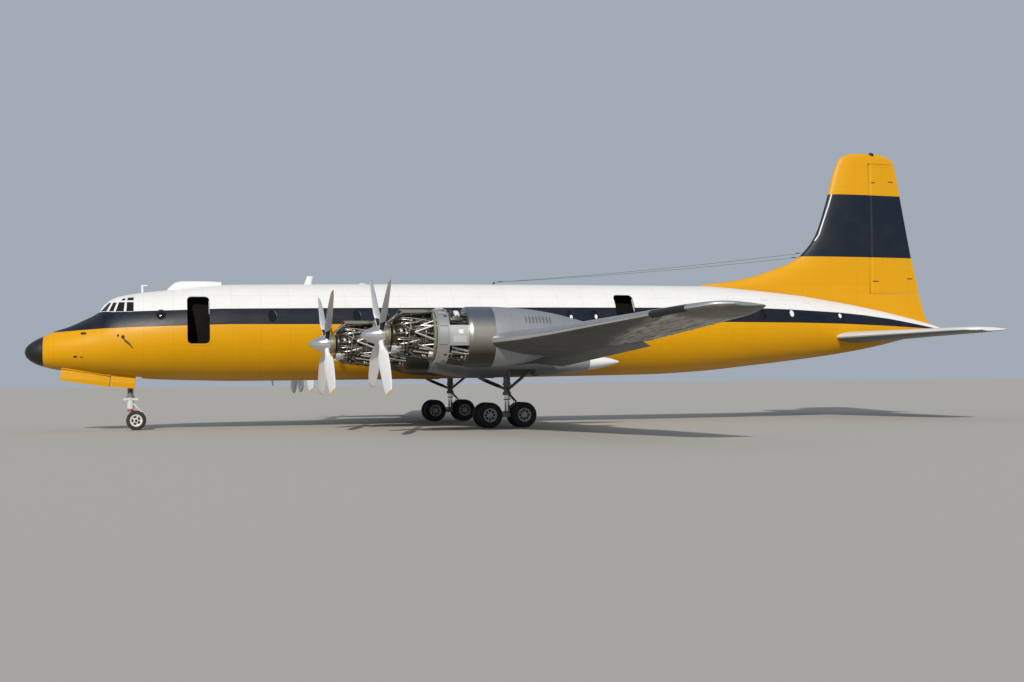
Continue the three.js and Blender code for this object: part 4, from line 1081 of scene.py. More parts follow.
def propeller():
    """Spinner, hub ring and blades about the shaft line, the first blade upright."""
    shape = Shape()
    spinner = Fair(SPINNER)
    tip, back = SPINNER[0][0], SPINNER[-1][0]
    stations = [tip + (back - tip) * share**1.6 for share in spread(0, 1, 26)]
    shape.turn([(aft, spinner(aft)[0]) for aft in stations], (0, 0, 0), AFT, POLISH, 64)
    ring = [(0.12, 0.20), (0.12, 0.318), (0.135, 0.336), (0.20, 0.338), (0.205, 0.322), (0.235, 0.322),
            (0.24, 0.336),
            (0.295, 0.334), (0.30, 0.32), (0.30, 0.05)]
    shape.turn(ring, (0, 0, 0), AFT, HUB, 64)
    curve = Fair(BLADE)
    radii = spread(BLADE[0][0], CUFF_END, 8) + spread(CUFF_END, TIP_START, 22)[1:]
    radii += spread(TIP_START, BLADE_END, 10)[1:]
    count = 20
    rings = []
    for radius in radii:
        chord, pitch, thickness = curve(radius)
        c, s = cos(radians(pitch)), sin(radians(pitch))
        ring = []
        for angle in turns(count):
            u = -0.5 * cos(angle) * chord
            v = 0.5 * sin(angle) * (1 - 0.3 * cos(angle + pi)) * thickness
            ring.append(Vector((u * s + v * c, u * c - v * s, radius)) * SCALE)
        rings.append(ring)

    def mark(r, i):
        if radii[r] < CUFF_END - 0.01:
            return CUFF if i >= count / 2 else CUFF_FRONT
        return TIP if radii[r] > TIP_START - 0.01 else BLADE_FACE

    one = Shape(rings, mark)
    for k in range(BLADES):
        shape.join(one, Matrix.Rotation(-2 * pi * k / BLADES, 4, "X"))
    return shape


# Landing gear

TYRE, RIM, DARK_STEEL, CHROME, BAND = range(5)
PAINT = 0
GROOVE = 0.012


def wheel(shape, size, centre, outward):
    """One wheel: grooved tyre, dished rim with lightening holes, hub and bolts, facing out (1 or -1)."""
    radius, width, rim, count = size["radius"], size["width"], size["rim"], size["holes"]
    half = width / 2
    side_wall = [(0.80, rim - 0.02), (0.86, rim + 0.01), (1.0, rim + (radius - rim) * 0.35),
                 (1.0, rim + (radius - rim) * 0.62), (0.90, radius * 0.945), (0.76, radius * 0.985)]
    tread = [(y * width + dy, radius - deep) for y in (-0.30, -0.10, 0.10, 0.30)
             for dy, deep in ((-0.010, 0), (-0.007, GROOVE), (0.007, GROOVE), (0.010, 0))]
    profile = [(-half * y, r) for y, r in side_wall] + tread + [(half * y, r) for y, r in reversed(side_wall)]
    axis = Vector((0, outward, 0))
    shape.turn(profile, centre, axis, TYRE, 72, closed=True)
    dish = [
        (-0.7, 0.06), (-0.7, rim - 0.04), (0.60, rim - 0.035), (0.84, rim - 0.02), (0.90, rim + 0.004),
        (0.96, rim - 0.002), (0.92, rim - 0.022), (0.55, rim - 0.055), (0.45, rim * 0.62), (0.55, rim * 0.42),
        (0.85, rim * 0.36), (0.98, rim * 0.30), (1.0, 0.02),
    ]
    shape.turn([(half * y, r) for y, r in dish], centre, axis, RIM, 56)
    hole_size = rim * 0.62 * pi / count * 0.70
    hole_profile = [(0.30, hole_size * 0.95), (0.58, hole_size), (0.585, hole_size * 0.9),
                    (0.57, hole_size * 0.8)]
    for angle in turns(count):
        out = Vector((cos(angle), 0, sin(angle)))
        hole = Vector(centre) + out * (rim * 0.63 * SCALE)
        shape.turn([(half * y, r) for y, r in hole_profile], hole, axis, TYRE, 18)
        bolt = Vector(centre) + (Matrix.Rotation(pi / count, 3, "Y") @ out) * (rim * 0.42 * SCALE)
        shape.turn([(half * 0.50, 0.012), (half * 0.66, 0.012), (half * 0.67, 0.008)], bolt, axis, CHROME, 6)


def wheel_pair(size):
    shape = Shape()
    spread_y, drum_radius = size["spread"], size["rim"] * 0.7
    end = Vector((0, (spread_y + 0.1) * SCALE, 0))
    shape.tube([-end, end], AXLE, 24, DARK_STEEL)
    drum = [(-0.075, 0.06), (-0.075, drum_radius), (0.02, drum_radius), (0.02, 0.06)]
    for outward in (1, -1):
        wheel(shape, size, (0, outward * spread_y * SCALE, 0), outward)
        centre = Vector((0, outward * (spread_y - size["width"] * 0.28) * SCALE, 0))
        shape.turn(drum, centre, (0, outward, 0), DARK_STEEL, 40)
    return shape


def bogie(side):
    """Beam with its axle bosses and the leg's foot."""
    shape = Shape()
    station, base, leg = BOGIE["station"], BOGIE["half_base"], MAIN_LEG["station"]
    span, z = ENGINES["inner"][0], MAIN_WHEEL["radius"]
    shape.bars(((station - base, span, z), (station + base, span, z), BOGIE["beam"], PAINT, 32))
    boss = [(-0.13, AXLE + 0.002), (-0.13, 0.080), (-0.11, 0.095), (0.11, 0.095), (0.13, 0.080),
            (0.13, AXLE + 0.002)]
    for shift in (-base, base):
        shape.turn(boss, place(station + shift, span, z), (0, 1, 0), PAINT, 32, closed=True)
    shape.block(place(leg - 0.12, span - 0.06, z), place(leg + 0.12, span + 0.06, MAIN_LEG["foot"] - 0.001),
                PAINT)
    rod = z + 0.11
    for dy in (-0.105, 0.105):
        shape.bars(((station - base, span + dy, rod), (station + base, span + dy, rod), 0.016, CHROME, 10))
        shape.bars(*(((station + shift, span + dy, rod), (station + shift, span + dy * 0.4, z + 0.04), 0.018,
                      DARK_STEEL, 8) for shift in (-base, -0.2, 0.2, base)))
    return shape if side == PORT else shape.mirror()


def link_plate(shape, start, end, wide, narrow, thickness, mark):
    """A tapered link between two (station, span, height) points, flat across the aeroplane."""
    start, end = place(*start), place(*end)
    across = Vector((0, 1, 0))
    up = (end - start).normalized().cross(across).normalized() * (thickness / 2 * SCALE)
    corners = [start - across * wide * SCALE, start + across * wide * SCALE,
               end + across * narrow * SCALE, end - across * narrow * SCALE]
    shape.skin([[c - up for c in corners], [c + up for c in corners]], mark)


def main_leg(side):
    shape = Shape()
    station, span = MAIN_LEG["station"], ENGINES["inner"][0]
    collar, foot, roof = MAIN_LEG["collar"], MAIN_LEG["foot"], MAIN_BAY["roof"]
    outer, inner = MAIN_LEG["outer"], MAIN_LEG["inner"]
    profile = [
        (0, outer * 0.9), (0, outer), (roof - 1.62, outer), (roof - 1.60, outer + 0.025),
        (roof - 1.54, outer + 0.025),
        (roof - 1.52, outer - 0.01), (roof - collar - 0.12, outer - 0.01),
        (roof - collar - 0.10, outer + 0.03),
        (roof - collar, outer + 0.03), (roof - collar + 0.01, inner + 0.02),
    ]
    shape.turn(profile, place(station, span, roof), DOWN, PAINT, 40)
    shape.bars(((station, span, collar + 0.05), (station, span, foot), inner, CHROME, 32))
    for dy in (-0.16, 0.16):
        shape.bars(
            ((station + 0.05, span + dy * 0.5, 1.35), (station - 1.02, span + dy * 0.88, 1.81), 0.045,
             PAINT, 20),
            ((station - 0.05, span + dy * 0.5, 1.30), (station + 0.92, span + dy * 0.96, 2.09), 0.035,
             PAINT, 20),
            ((station - 0.30, span + dy * 0.62, 1.50), (station - 0.85, span + dy * 0.8, 1.73), 0.055,
             DARK_STEEL, 20))
    knee = station + 0.36
    link_plate(shape, (station + 0.12, span, 1.17), (knee, span, 0.92), 0.10, 0.045, 0.05, PAINT)
    link_plate(shape, (knee, span, 0.92), (station + 0.08, span, 0.71), 0.045, 0.09, 0.05, PAINT)
    shape.bars(((knee, span - 0.07, 0.92), (knee, span + 0.07, 0.92), 0.03, CHROME, 14))
    hose = ((-0.02, 2.05), (0.02, 1.7), (-0.01, 1.35), (0.10, 1.12), (0.30, 0.98), (0.22, 0.72), (0.10, 0.60))
    for dy, radius in ((0.155, 0.012), (-0.15, 0.010), (0.13, 0.008)):
        shape.tube([place(station + s, span + dy, z) for s, z in hose], radius, 8, DARK_STEEL)
    shape.tube([place(station, span, 1.02) + Vector((cos(a), sin(a),
                                                     0)) * (inner + 0.02) * SCALE for a in turns(20)],
               0.020, 8, BAND, closed=True)
    return shape if side == PORT else shape.mirror()


def nose_leg():
    shape = Shape()
    station, split, roof, outer = NOSE_LEG["station"], NOSE_LEG["split"], NOSE_BAY["roof"], NOSE_LEG["outer"]
    profile = [
        (0, outer * 0.9), (0, outer), (roof - 1.72, outer), (roof - 1.70, outer + 0.025),
        (roof - 1.64, outer + 0.025),
        (roof - 1.62, outer - 0.008), (roof - split - 0.08, outer - 0.008),
        (roof - split - 0.06, outer + 0.02),
        (roof - split - 0.001, outer + 0.02), (roof - split - 0.0005, outer * 0.6),
    ]
    shape.turn(profile, place(station, 0, roof), DOWN, PAINT, 40)
    for y in (-0.2, 0.2):
        shape.bars(
            ((station - 0.05, y * 0.4, 1.55), (station - 0.98, y * 0.93, roof - 0.02), 0.035, PAINT, 20),
            ((station + 0.10, y * 0.5, 1.32), (station + 0.10, y * 0.5, 2.1), 0.028, CHROME, 16),
            ((station + 0.10, y * 0.5, 1.62), (station + 0.10, y * 0.5, 2.2), 0.042, PAINT, 16))
    shape.bars(((station, -0.14, 1.46), (station, 0.14, 1.46), 0.045, DARK_STEEL, 20),
               ((station - 0.6, -0.19, 2.20), (station - 0.6, 0.19, 2.20), 0.022, PAINT, 14))
    hose = ((0.02, 2.7), (0.03, 2.2), (0.0, 1.8), (0.03, 1.5), (0.01, 1.30))
    for dy in (0.125, -0.125):
        shape.tube([place(station + s, dy, z) for s, z in hose], 0.010, 8, DARK_STEEL)
    return shape


def nose_fork():
    """The steered foot."""
    shape = Shape()
    station, split, foot, inner, outer = (NOSE_LEG[key] for key in ("station", "split", "foot", "inner",
                                                                    "outer"))
    collar = [(0, outer * 0.5), (0.001, outer + 0.02), (0.05, outer + 0.02), (0.06, outer), (0.13, outer),
              (0.14, inner)]
    shape.turn(collar, place(station, 0, split), DOWN, PAINT, 40)
    shape.bars(((station, 0, split - 0.1), (station, 0, foot), inner, CHROME, 28))
    axle, axle_z = NOSE_LEG["wheel"], NOSE_WHEEL["radius"]
    ankle = [(-0.02, 0.085), (0.06, 0.10), (0.16, 0.10), (0.20, 0.085)]
    shape.turn(ankle, place(station, 0, foot + 0.18), DOWN, PAINT, 32)
    shape.bars(((station, 0, foot + 0.06), (axle, 0, axle_z), 0.07, PAINT, 28))
    boss = [(-0.075, AXLE + 0.002), (-0.075, 0.09), (0.075, 0.09), (0.075, AXLE + 0.002)]
    shape.turn(boss, place(axle, 0, axle_z), (0, 1, 0), PAINT, 32, closed=True)
    shape.block(place(station - 0.25, -0.12, split - 0.09), place(station + 0.27, 0.12, split - 0.01), PAINT)
    cuff = [(0, outer * 0.7), (0.0005, outer + 0.01), (0.30, outer + 0.01), (0.31, inner + 0.02)]
    shape.turn(cuff, place(station, 0, split - 0.10), DOWN, PAINT, 36)
    band = [(0, inner), (0.0005, inner + 0.035), (0.05, inner + 0.035), (0.0505, inner)]
    shape.turn(band, place(station, 0, 0.76), DOWN, BAND, 32)
    knee = (station + 0.42, 0, 0.66)
    for height, wide in ((0.98, 0.085), (0.50, 0.075)):
        link_plate(shape, (station + 0.10, 0, height), knee, wide, 0.04, 0.06, PAINT)
    pin = Vector((0, 0.03, 0))
    shape.tube([place(*knee) - pin, place(*knee) + pin], 0.03, 14, CHROME)
    return shape


# Small fittings


def dorsal_hump():
    """Fairing on the roof behind the flight deck: a rounded front, a flat crown and an upright back end."""
    curve = Fair(HUMP)
    first, last = HUMP[0][0], HUMP[-1][0]
    rings = []
    for share in spread(0, 1, 40):
        station = first + (last - first) * share**1.5
        crown, half = curve(station)
        foot = body_curve(station)[0] - 0.12
        half *= 0.93
        ring = [place(station, half, foot - 0.05)]
        for angle in spread(0, pi, 24):
            across = copysign(abs(cos(angle)) ** 0.6, cos(angle))
            ring.append(place(station, half * across, foot + (crown - foot) * sin(angle) ** 0.55))
        rings.append(ring + [place(station, -half, foot - 0.05)])
    return Shape(rings)


def blade_aerial(shape, front, back, root, tip_front, tip_back, tip, thick):
    """A flat swept aerial with a rounded front."""
    rings = []
    for share in spread(0, 1, 6):
        lead, trail = front + (tip_front - front) * share, back + (tip_back - back) * share
        rings.append([place((lead + trail) / 2 - (trail - lead) / 2 * cos(a), thick / 2 * sin(a),
                            root + (tip - root) * share) for a in turns(12)])
    shape.skin(rings)


WIRE_MAST = 17.70


def masts():
    """Aerials and masts along the roof and the belly."""
    shape = Shape()
    blade_aerial(shape, 10.12, 10.41, 5.38, 10.28, 10.50, 5.80, 0.05)
    blade_aerial(shape, 4.11, 4.20, 5.08, 4.11, 4.19, 5.40, 0.06)
    shape.bars(((4.13, 0, 5.385), (4.33, 0, 5.385), 0.026, 0, 10))
    for station in (8.88, 9.91):
        blade_aerial(shape, station, station + 0.08, 1.86, station + 0.04, station + 0.10, 1.60, 0.05)
    shape.turn([(-0.06, 0.11), (0.02, 0.10), (0.04, 0.045), (0.16, 0.04), (0.18, 0.03), (0.19, 0.012)],
               place(WIRE_MAST, 0, 5.46), (0, 0, 1), 1, 20)
    rings = []
    for share in spread(0, 1, 12):
        rise = sin(pi * share) ** 0.6 * 0.085 + 0.005
        rings.append([place(10.66 + 0.42 * share, 0.11 * cos(a) * (0.3 + 0.7 * sin(pi * share)),
                            5.41 + rise * sin(a))
                      for a in turns(16)])
    shape.skin(rings)
    return shape


def aerial_wires():
    shape = Shape()
    for side, station, height in ((0.05, 31.30, 6.86), (-0.05, 31.55, 7.06)):
        start, end = place(WIRE_MAST, side * 0.3, 5.64), place(station, side, height)
        path = []
        for t in spread(0, 1, 24):
            point = start.lerp(end, t)
            point.z -= 0.10 * SCALE * 4 * t * (1 - t)
            path.append(point)
        shape.tube(path, 0.007, 6)
        along = (end - start).normalized()
        for share in (0.02, 0.97):
            middle = start.lerp(end, share)
            shape.tube([middle - along * 0.05, middle + along * 0.05], 0.02)
    return shape


def static_wicks():
    shape = Shape()
    for side in SIDES:
        for table, spans, reach in ((WING, (15.5, 16.9, 18.3, 19.7, 20.9), 0.09),
                                    (TAILPLANE, (4.4, 5.8, 7.2), 0.08)):
            for span in spans:
                _, trail, _, z, _ = between(table, span)
                shape.bars(((trail - 0.01, side * span, z), (trail + reach, side * span, z + 0.004), 0.006,
                            0, 6))
    return shape


def pitots():
    """Curved probe, oval vent and slot on each side of the nose."""
    shape = Shape()
    for side in SIDES:
        root = skin_point(3.48, 3.42, side)
        out = Vector((0, side, 0))
        elbow = root + out * (0.13 * SCALE) + Vector((0, 0, -0.06)) * SCALE
        tip = skin_point(3.74, 3.14, side) + out * (0.20 * SCALE)
        shape.tube([root - out * 0.02, root + out * (0.06 * SCALE), elbow, tip], 0.022, 10)
        shape.turn([(-0.02, 0.07), (0.006, 0.07), (0.010, 0.05)], root, out, 0, 20)
        shape.turn([(-0.02, 0.045), (0.006, 0.045), (0.010, 0.03)], skin_point(3.30, 3.47, side), out, 0, 20)
        for vent in ((2.09, 3.56, 0.22, 0.09), (1.80, 2.72, 0.13, 0.07), (2.02, 2.70, 0.10, 0.04)):
            outline = with_directions(oval_outline(*vent, side))
            shape.skin([[point + out * (lift * SCALE) for point, out in outline] for lift in (-0.02, 0.008)])
    return shape


def tip_lamps():
    shape = Shape()
    lead, _, lead_z, _, _ = between(WING, 21.30)
    for mark, side in enumerate(SIDES):
        rings = []
        for share in spread(0, 1, 8):
            station = lead + 0.06 + 0.18 * share
            swell = sin(pi * share) ** 0.5 * 0.022 + 0.003
            rings.append([place(station, side * (21.34 + 0.11 * share + swell * cos(a)),
                                lead_z + swell * sin(a))
                          for a in turns(12)])
        shape.skin(rings, mark)
    return shape


def beacon():
    """Dark lamp on top of the fin and a low blister on the roof."""
    shape = Shape()
    base = place(BEACON["station"], 0, BEACON["height"])
    shape.turn([(-0.05, 0.13), (0.0, 0.13), (0.04, 0.10), (0.08, 0.03)], base, (0, 0, 1), 0, 28)
    rings = []
    for share in spread(0, 1, 12):
        station = 12.24 + 0.36 * share
        swell = sin(pi * share) ** 0.5 * 0.045 + 0.002
        top = body_curve(station)[0]
        rings.append([place(station, 0.12 * cos(a) * (swell / 0.047),
                            top - 0.01 + swell * sin(a)) for a in turns(16)])
    shape.skin(rings, 1)
    return shape


def scoops():
    """Small intakes on the sides of the tail."""
    shape = Shape()
    for side in SIDES:
        for station, height, length, size in ((28.8, 4.95, 0.34, 0.09), (30.86, 4.86, 0.30, 0.08)):
            centre = skin_point(station, height, side)
            out = (centre - Vector((centre.x, 0, 3.9 * SCALE))).normalized()
            up = FORWARD.cross(out)
            rings = []
            for share in spread(0, 1, 8):
                swell = size * (1 - share) ** 0.7 + 0.004
                middle = centre + Vector((-length * share * SCALE, 0, 0)) - out * 0.012
                rings.append([middle + (out * swell * cos(a) * 0.9 + up * swell * sin(a)) * SCALE
                              for a in turns(16)])
            shape.skin(rings)
    return shape


def bubble_window():
    """Round bulged window on the port side behind the flight deck."""
    station, height, radius = BUBBLE["station"], BUBBLE["height"], BUBBLE["radius"]
    circle = lambda reach, lift: [
        skin_point(station + reach * cos(a), height + reach * sin(a), PORT, lift) for a in turns(36)]
    shape = Shape([circle(radius * cos(share * pi / 2 * 0.97), 0.004 + 0.075 * sin(share * pi / 2))
                   for share in spread(0, 1, 8)])
    knob = skin_point(station - 0.01, height - 0.07, PORT, 0.05)
    shape.turn([(-0.02, 0.02), (0.0, 0.05), (0.012, 0.045), (0.018, 0.02)], knob, (0, 1, 0.2), 2, 16)
    shape.tube(circle(radius + 0.015, 0.002), 0.020, 8, 1, closed=True)
    return shape


JAMB = 1


def door_surrounds():
    """A flush band around each doorway, standing just proud of the skin, and a strip on its rear jamb."""
    shape = Shape()
    reach = 0.07
    for station, sill in DOORS:
        rings = []
        for (s0, z0), (s1, z1) in zip(doorway_outline(), doorway_outline(reach)):
            near = (station + s0, sill + z0)
            far = (station - reach + s1, sill - reach + z1)
            rings.append([skin_point(*where, PORT, grow)
                          for where, grow in ((near, -0.02), (near, 0.006), (far, 0.006), (far, -0.02))])
        shape.skin(rings, closed=True)
        back = station + DOORWAY["width"] - 0.012
        deep = ((1.60, -0.02), (1.10, -0.02), (1.10, -0.10), (1.60, -0.10))
        shape.slab([skin_point(back, sill + z, PORT, grow) for z, grow in deep], (0.012 * SCALE, 0, 0), JAMB)
    return shape


# Nodes


class Graph:
    """Adds nodes to a tree and joins them up as it goes."""

    def __init__(self, tree):
        self.tree = tree

    def put(self, socket, value):
        if isinstance(value, bpy.types.NodeSocket):
            self.tree.links.new(value, socket)
        else:
            socket.default_value = value

    def node(self, kind, inputs=None, **settings):
        made = self.tree.nodes.new(kind)
        for key, value in settings.items():
            setattr(made, key, value)
        for key, value in (inputs or {}).items():
            self.put(made.inputs[key], value)
        return made

    def group(self, tree, *values):
        """The outputs of a shared shader group, with its inputs set in order."""
        return self.node("ShaderNodeGroup", dict(enumerate(values)), node_tree=tree).outputs

    def give(self, out, *values):
        for socket, value in zip(out.inputs, values):
            self.put(socket, value)
        return self.tree

    def maths(self, operation, *values):
        return self.node("ShaderNodeMath", dict(enumerate(values)), operation=operation).outputs[0]

    def mix(self, factor, first, second):
        inputs = {0: factor, 6: first, 7: second}
        return self.node("ShaderNodeMix", inputs, data_type="RGBA", blend_type="MIX").outputs[2]

    def ramp(self, value, low, high):
        """0 at the low value, 1 at the high one."""
        return self.node("ShaderNodeMapRange", {"Value": value, "From Min": low, "From Max": high}).outputs[0]

    def step(self, value, edge, width=0.012):
        """0 below the edge, 1 above it."""
        return self.ramp(self.maths("SUBTRACT", value, edge), -width / 2, width / 2)

    def both(self, *factors):
        result = factors[0]
        for factor in factors[1:]:
            result = self.maths("MULTIPLY", result, factor)
        return result

    def inside(self, value, low, high, width=0.012):
        return self.both(self.step(value, low, width),
                         self.maths("SUBTRACT", 1.0, self.step(value, high, width)))

    def curve(self, value, rows, top):
        """A float curve through (value, result) rows; results between 0 and top."""
        first, last = rows[0][0], rows[-1][0]
        made = self.node("ShaderNodeFloatCurve", {"Value": self.ramp(value, first, last)})
        points = made.mapping.curves[0].points
        while len(points) < len(rows):
            points.new(0.5, 0.5)
        for point, (x, y) in zip(points, rows):
            point.location = ((x - first) / (last - first), y / top)
            point.handle_type = "VECTOR"
        made.mapping.update()
        return self.maths("MULTIPLY", made.outputs[0], top)

    def noise(self, vector, scale, detail, roughness, low, high):
        inputs = {"Vector": vector, "Scale": scale, "Detail": detail, "Roughness": roughness}
        return self.ramp(self.node("ShaderNodeTexNoise", inputs).outputs[0], low, high)

    def stretched(self, vector, scale):
        return self.node("ShaderNodeMapping", {"Vector": vector, "Scale": scale}).outputs[0]

    def own(self, output):
        """The piece's own coordinates or normal."""
        return self.node("ShaderNodeTexCoord").outputs[output]


def new_group(name, inputs, outputs, kind="Shader"):
    """A node group: sockets as (name, type) rows. Returns its graph and its two end nodes."""
    tree = bpy.data.node_groups.new(name, f"{kind}NodeTree")
    for in_out, rows in (("INPUT", inputs), ("OUTPUT", outputs)):
        for socket_name, socket_type in rows:
            tree.interface.new_socket(socket_name, in_out=in_out, socket_type=f"NodeSocket{socket_type}")
    graph = Graph(tree)
    return graph, graph.node("NodeGroupInput"), graph.node("NodeGroupOutput")


def floats(*names):
    return [(name, "Float") for name in names]


# Studs, rivets and louvres, repeated by Geometry Nodes

STUD_SEED = 11


def stud_tree():
    """Points with an outward attribute in, a low oval stud standing on each of them out."""
    inputs = [("Geometry", "Geometry"), *floats("Width", "Length", "Height", "Unevenness"), ("Sides", "Int"),
              ("Seed", "Int"), ("Material", "Material")]
    graph, given, result = new_group("studs", inputs, [("Geometry", "Geometry")], "Geometry")
    given = given.outputs
    stud = graph.node("GeometryNodeMeshCylinder", {"Radius": 0.5, "Depth": 1.0, "Vertices": given["Sides"]})
    outward = graph.node("GeometryNodeInputNamedAttribute", {"Name": "outward"}, data_type="FLOAT_VECTOR")
    upright = graph.node("FunctionNodeAlignRotationToVector", {"Vector": outward.outputs["Attribute"]},
                         axis="Z")
    along = graph.node("FunctionNodeAlignRotationToVector",
                       {"Vector": (1, 0, 0), "Rotation": upright.outputs["Rotation"]}, axis="X",
                       pivot_axis="Z")
    lowest = graph.maths("SUBTRACT", 1.0, given["Unevenness"])
    uneven = graph.node("FunctionNodeRandomValue", {2: lowest, 3: 1.0, "Seed": given["Seed"]},
                        data_type="FLOAT")
    size = graph.node("ShaderNodeCombineXYZ", {"X": given["Length"], "Y": given["Width"],
                                               "Z": given["Height"]})
    scaled = graph.node("ShaderNodeVectorMath", {0: size.outputs[0], "Scale": uneven.outputs[1]},
                        operation="SCALE")
    copies = graph.node("GeometryNodeInstanceOnPoints", {
        "Points": given["Geometry"], "Instance": stud.outputs["Mesh"], "Rotation": along.outputs["Rotation"],
        "Scale": scaled.outputs[0]})
    real = graph.node("GeometryNodeRealizeInstances", {"Geometry": copies.outputs["Instances"]})
    coloured = graph.node("GeometryNodeSetMaterial",
                          {"Geometry": real.outputs["Geometry"], "Material": given["Material"]})
    return graph.give(result, coloured.outputs["Geometry"])


STUD_TREE = stud_tree()


def studs(name, rows, width, length, height, sides, material, slot):
    """One piece on the airframe, with a stud on each (point, outward) row. Sizes are real metres."""
    mesh = bpy.data.meshes.new(name + "_places")
    mesh.from_pydata([tuple(point) for point, _ in rows], [], [])
    outward = mesh.attributes.new("outward", "FLOAT_VECTOR", "POINT")
    for item, (_, out) in zip(outward.data, rows):
        item.vector = tuple(out)
    obj = placed(name, mesh)
    step = obj.modifiers.new("studs", "NODES")
    step.node_group = STUD_TREE
    values = {"Width": width * SCALE, "Length": length * SCALE, "Height": height * SCALE, "Sides": sides,
              "Unevenness": 0.15, "Seed": STUD_SEED, "Material": PALETTE[material]}
    for socket in STUD_TREE.interface.items_tree:
        if socket.name in values:
            step[socket.identifier] = values[socket.name]
    applied(obj)
    return finished(obj, slot, material)


def cowl_rivets():
    front, back, outer = COWL_RING["front"], COWL_RING["back"], COWL_RING["outer"]
    circles = ((front + 0.05, outer + 0.006, 60), (back - 0.035, outer + 0.006, 60), (1.628, 0.845, 44))
    rows = []
    for side in SIDES:
        for span, disc, height, _ in ENGINES.values():
            for aft, radius, count in circles:
                for k in range(count):
                    degrees = 360 * (k + 0.5) / count
                    angle = radians(degrees)
                    point = Matrix.Translation(place(disc, side * span, height)) @ around(aft, radius,
                                                                                          degrees)
                    rows.append((point, Vector((0, cos(angle), sin(angle)))))
    return rows


def nacelle_rows(aft_values, heights):
    """Points on both sides of every nacelle's skin, at heights over its shaft."""
    rows = []
    for side in SIDES:
        for span, disc, height, _ in ENGINES.values():
            for aft in aft_values:
                top, bottom, half = rear_curve(aft)
                middle, reach = (top + bottom) / 2, (top - bottom) / 2
                for z in heights:
                    share = (z - middle) / reach
                    if abs(share) > 0.92:
                        continue
                    beside = sqrt(1 - share * share)
                    for hand in (1, -1):
                        out = Vector((0, hand * beside / half, share / reach)).normalized()
                        rows.append((place(disc + aft, side * span + hand * half * beside, height + z), out))
    return rows


def body_rivets():
    """Rivet lines around the fuselage at its frames, clear of the doorways."""
    rows = []
    for station in spread(4.6, 30.8, 26):
        if any(front - 0.1 < station < front + DOORWAY["width"] + 0.1 for front, _ in DOORS):
            continue
        for angle in turns(110, 0.5):
            point = body_point(station, angle)
            middle = body_curve(station)[1] * SCALE
            rows.append((point, Vector((0, point.y, point.z - middle)).normalized()))
    return rows


# Materials


def srgb(red, green, blue):
    return tuple((value / 255) ** 2.2 for value in (red, green, blue)) + (1.0,)


YELLOW = srgb(194, 140, 0)
WHITE = srgb(206, 207, 209)
BLACK = srgb(13, 27, 42)
WING_TOP = srgb(150, 155, 162)
BODY_GRIME = srgb(120, 84, 20)
SEAM = srgb(45, 42, 38)
PALETTE = {}


def real_place_group():
    """Station, span and height in real metres from the piece's own coordinates."""
    graph, _, out = new_group("real_place", [], floats("Station", "Span", "Height"))
    x, y, z = graph.node("ShaderNodeSeparateXYZ", {"Vector": graph.own("Object")}).outputs
    station = graph.maths("SUBTRACT", LENGTH / 2, graph.maths("DIVIDE", x, SCALE))
    span = graph.maths("ABSOLUTE", graph.maths("DIVIDE", y, SCALE))
    return graph.give(out, station, span, graph.maths("DIVIDE", z, SCALE))


BAND_LOW = [
    (0.0, 3.60), (1.33, 3.64), (2.69, 3.73), (4.07, 3.78), (5.47, 3.82), (7.25, 3.87), (15.5, 3.88),
    (26.7, 3.99),
    (30.5, 3.985), (32.55, 3.96), (35.18, 3.88), (37.59, 3.78), (37.88, 3.76),
]
BAND_HIGH = [
    (0.0, 4.36), (2.95, 4.36), (3.03, 4.34), (5.47, 4.40), (6.89, 4.45), (12.0, 4.50), (19.1, 4.55),
    (25.4, 4.57),
    (29.0, 4.57), (30.12, 4.54), (32.53, 4.44), (33.81, 4.34), (35.18, 4.19), (36.39, 4.01), (37.59, 3.81),
    (37.88, 3.76),
]
FIN_BASE = [(26.0, 5.62), (26.6, 5.57), (31.2, 5.16), (33.5, 4.80), (36.0, 4.35), (37.2, 4.05), (37.88, 3.87)]
FIN_BAND = (6.87, 9.57)


def livery_group(real_place):
    """Colour of the fuselage: yellow, a blue-black band at the windows, white above, a yellow fin root."""
    graph, _, out = new_group("livery", [], [("Color", "Color")])
    station, _, height = graph.group(real_place)
    low, high, base = (graph.curve(station, rows, 8.0) for rows in (BAND_LOW, BAND_HIGH, FIN_BASE))
    colour = graph.mix(graph.step(height, low), YELLOW, BLACK)
    colour = graph.mix(graph.step(height, high), colour, WHITE)
    on_tail = graph.both(graph.step(station, 26.6), graph.step(height, base))
    return graph.give(out, graph.mix(on_tail, colour, YELLOW))


def seam_group():
    """Thin dark lines where skin sheets meet, around and along a body."""
    graph, given, out = new_group("seams", floats("Along", "Across", "Pitch", "Row"), floats("Factor"))
    along, across, pitch, row, _ = given.outputs
    lines = []
    for value, gap, width in ((along, pitch, 0.010), (across, row, 0.008)):
        share = graph.maths("PINGPONG", value, graph.maths("DIVIDE", gap, 2.0))
        lines.append(graph.maths("LESS_THAN", share, width))
    return graph.give(out, graph.maths("MAXIMUM", *lines))


def wear_group():
    """Grime: broad stains, fine specks and streaks that run aft."""
    graph, _, out = new_group("wear", [], floats("Stain", "Speck", "Streak"))
    where = graph.own("Object")
    stain = graph.noise(where, 2.3, 6.0, 0.6, 0.42, 0.72)
    speck = graph.noise(where, 60.0, 3.0, 0.6, 0.50, 0.75)
    return graph.give(out, stain, speck,
                      graph.noise(graph.stretched(where, (1.2, 9.0, 9.0)), 3.0, 5.0, 0.6, 0.45, 0.75))
